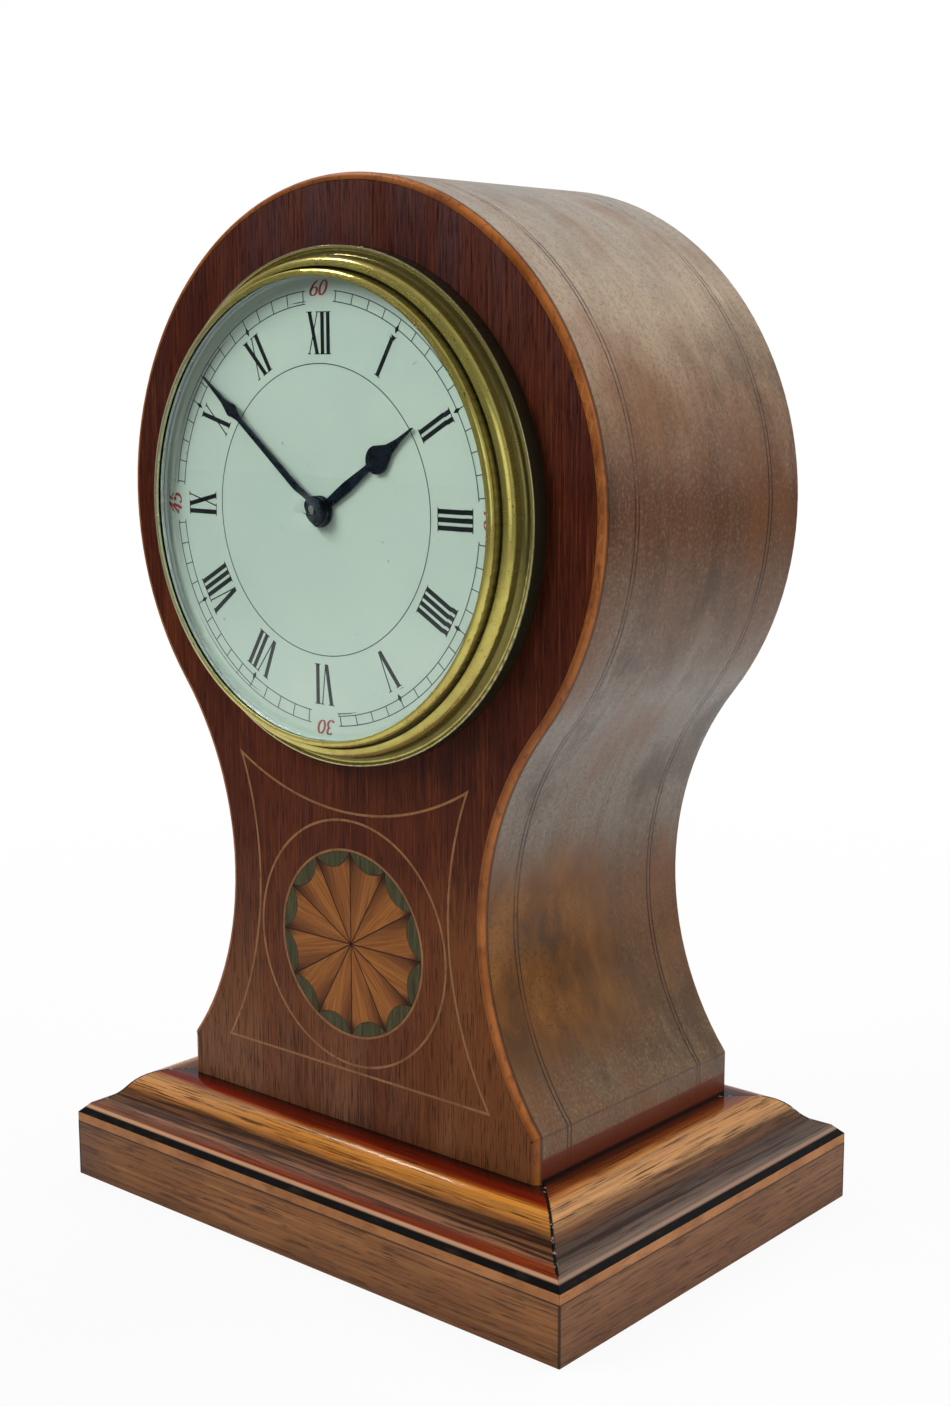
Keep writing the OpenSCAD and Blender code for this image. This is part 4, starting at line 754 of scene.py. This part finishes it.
# Lamps: place, aim, size, power, whether polished surfaces mirror it, and whether it lights matt ones
LAMPS = {
    "key": ((-0.95, -1.3, 1.35), (0, 0, 0.13), (1.0, 1.0), 30, False, True),
    "card": ((0.95, -0.75, 0.35), (0, 0, 0.16), (0.7, 1.1), 2.3, True, False),
    "strip": ((-0.78, 0.02, 1.2), (0, 0, 0.05), (0.05, 0.28), 2.4, True, True),
    "top": ((0.2, 0.9, 1.3), (0, 0, 0.15), (1.4, 0.9), 16, False, True),
    "side": ((1.7, 0.1, 0.7), (0, 0, 0.12), (0.9, 1.2), 15, False, True),
}


def area_light(name, at, aim, size, power, mirrored, lights):
    data = bpy.data.lights.new(name, "AREA")
    data.shape = "RECTANGLE"
    data.size, data.size_y = size
    data.energy = power
    lamp = bpy.data.objects.new(name, data)
    lamp.location = at
    lamp.rotation_euler = (Vector(aim) - Vector(at)).to_track_quat("-Z", "Y").to_euler()
    lamp.visible_glossy = mirrored
    lamp.visible_diffuse = lights
    scene.collection.objects.link(lamp)


def make_world():
    """White to the camera and straight through glass.

    All else sees a bright backdrop behind the object and a dim room before it.
    """
    world = bpy.data.worlds.new("studio")
    scene.world = world
    world.use_nodes = True
    tree = world.node_tree
    add = tree.nodes.new
    link = tree.links.new
    path = add("ShaderNodeLightPath")
    split = add("ShaderNodeSeparateXYZ")
    link(add("ShaderNodeTexCoord").outputs["Generated"], split.inputs[0])

    def span(value, *ends):
        node = add("ShaderNodeMapRange")
        link(value, node.inputs["Value"])
        for key, end in zip(("From Min", "From Max", "To Min", "To Max"), ends):
            if isinstance(end, bpy.types.NodeSocket):
                link(end, node.inputs[key])
            else:
                node.inputs[key].default_value = end
        return node.outputs[0]

    backdrop = span(path.outputs["Is Glossy Ray"], 0, 1, BACKDROP, MIRRORED_BACKDROP)
    around = span(split.outputs["Y"], -0.5, 0.8, ROOM, backdrop)
    direct = span(path.outputs["Diffuse Depth"], 0, 1, path.outputs["Is Transmission Ray"], 0)
    through = span(path.outputs["Glossy Depth"], 0, 1, direct, 0)
    seen = span(path.outputs["Is Camera Ray"], 0, 1, through, 1)
    link(span(seen, 0, 1, around, 1), tree.nodes["Background"].inputs["Strength"])
    tree.nodes["Background"].inputs["Color"].default_value = (1, 1, 1, 1)


def make_floor():
    """Pale floor that is almost white to the camera and keeps a faint shadow."""
    mesh = bpy.data.meshes.new("floor")
    corners = [(u * FLOOR_HALF, v * FLOOR_HALF, 0) for u, v in ((-1, -1), (1, -1), (1, 1), (-1, 1))]
    mesh.from_pydata(corners, [], [(0, 1, 2, 3)])
    floor = bpy.data.objects.new("floor", mesh)
    floor.location.z = -FLOOR_DROP
    scene.collection.objects.link(floor)
    s = Shader("floor", Roughness=0.9, Specular_IOR_Level=0.0)
    away = s.length(s.x, s.y)
    s.set(Base_Color=s.mix(s.smooth(away, 0.15, 0.9), FLOOR_NEAR, FLOOR_FAR))
    white = s.add("ShaderNodeEmission", (1, 1, 1, 1), 1.0)
    path = s.add("ShaderNodeLightPath")
    turned = s.math("ADD", path.outputs["Diffuse Depth"], path.outputs["Glossy Depth"])
    through = s.times(path.outputs["Is Transmission Ray"], s.math("LESS_THAN", turned, 0.5))
    seen = s.math("MAXIMUM", path.outputs["Is Camera Ray"], through)
    share = s.times(seen, s.smooth(away, 0.1, 0.5, 0.92, 1.0))
    both = s.add("ShaderNodeMixShader", share, s.bsdf.outputs[0], white.outputs[0])
    s.tree.links.new(both.outputs[0], s.tree.nodes["Material Output"].inputs["Surface"])
    mesh.materials.append(s.mat)


def make_stage():
    make_world()
    make_floor()
    for name, lamp in LAMPS.items():
        area_light(name, *lamp)


make_camera()
make_stage()

veneer = side_veneer()
brass = movement_brass("movement_brass")
bright = steel("steel", srgb(150, 152, 156), srgb(186, 188, 192), 0.22)
blued = steel("blued_steel", srgb(28, 43, 58), srgb(40, 60, 77), 0.24)
gilt = gilt_brass()
line = boxwood("boxwood_line", srgb(124, 82, 46), srgb(152, 106, 64))
dress(front_mahogany(), "front_veneer")
dress(veneer, "front_board", "back_board", "side_wall_left", "side_wall_right", "case_floor")
dress(plinth_wood(), "plinth")
dress(moulding_wood(), "base_moulding")
dress(boxwood("crossband_wood", srgb(146, 92, 48), srgb(176, 118, 68), (200, 200, 1600)), "crossband")
dress(ebonised(), "ebonised_band")
dress(string_wood(), "edge_stringing")
dress(line, "panel_stringing", "circle_stringing", "patera_border")
dress(petal_wood(), "patera_petals")
dress(stained_wood(), "patera_scallops")
dress(gilt, "bezel", "rear_ring", "rear_door", "door_knob")
dress(silvered(), "sight_ring")
dress(clear_glass(), "bezel_glass")
dress(enamel(), "dial")
dress(blued, "hour_hand", "minute_hand", "hand_collet", "hairspring")
dress(brass, "movement_ring", "front_plate", "back_plate", "pillars", "barrel", "barrel_cap",
      "intermediate_wheel", "third_wheel", "fourth_wheel", "minute_wheel", "hour_wheel", "setting_knob",
      "platform", "pallet_cock", "balance_cock", "balance_wheel")
dress(movement_brass("centre_wheel_brass", ARBOR_R), "centre_wheel")
dress(bright, "base_screws", "movement_screws", "mainspring", "winding_arbor", "ratchet_wheel", "click",
      "click_spring", "cannon_pinion", "escape_wheel", "setting_arbor", "pallet_lever", "regulator_index",
      "clamp_screws", "hinge_pin")

dial_printing()

scene.view_settings.view_transform = "Standard"
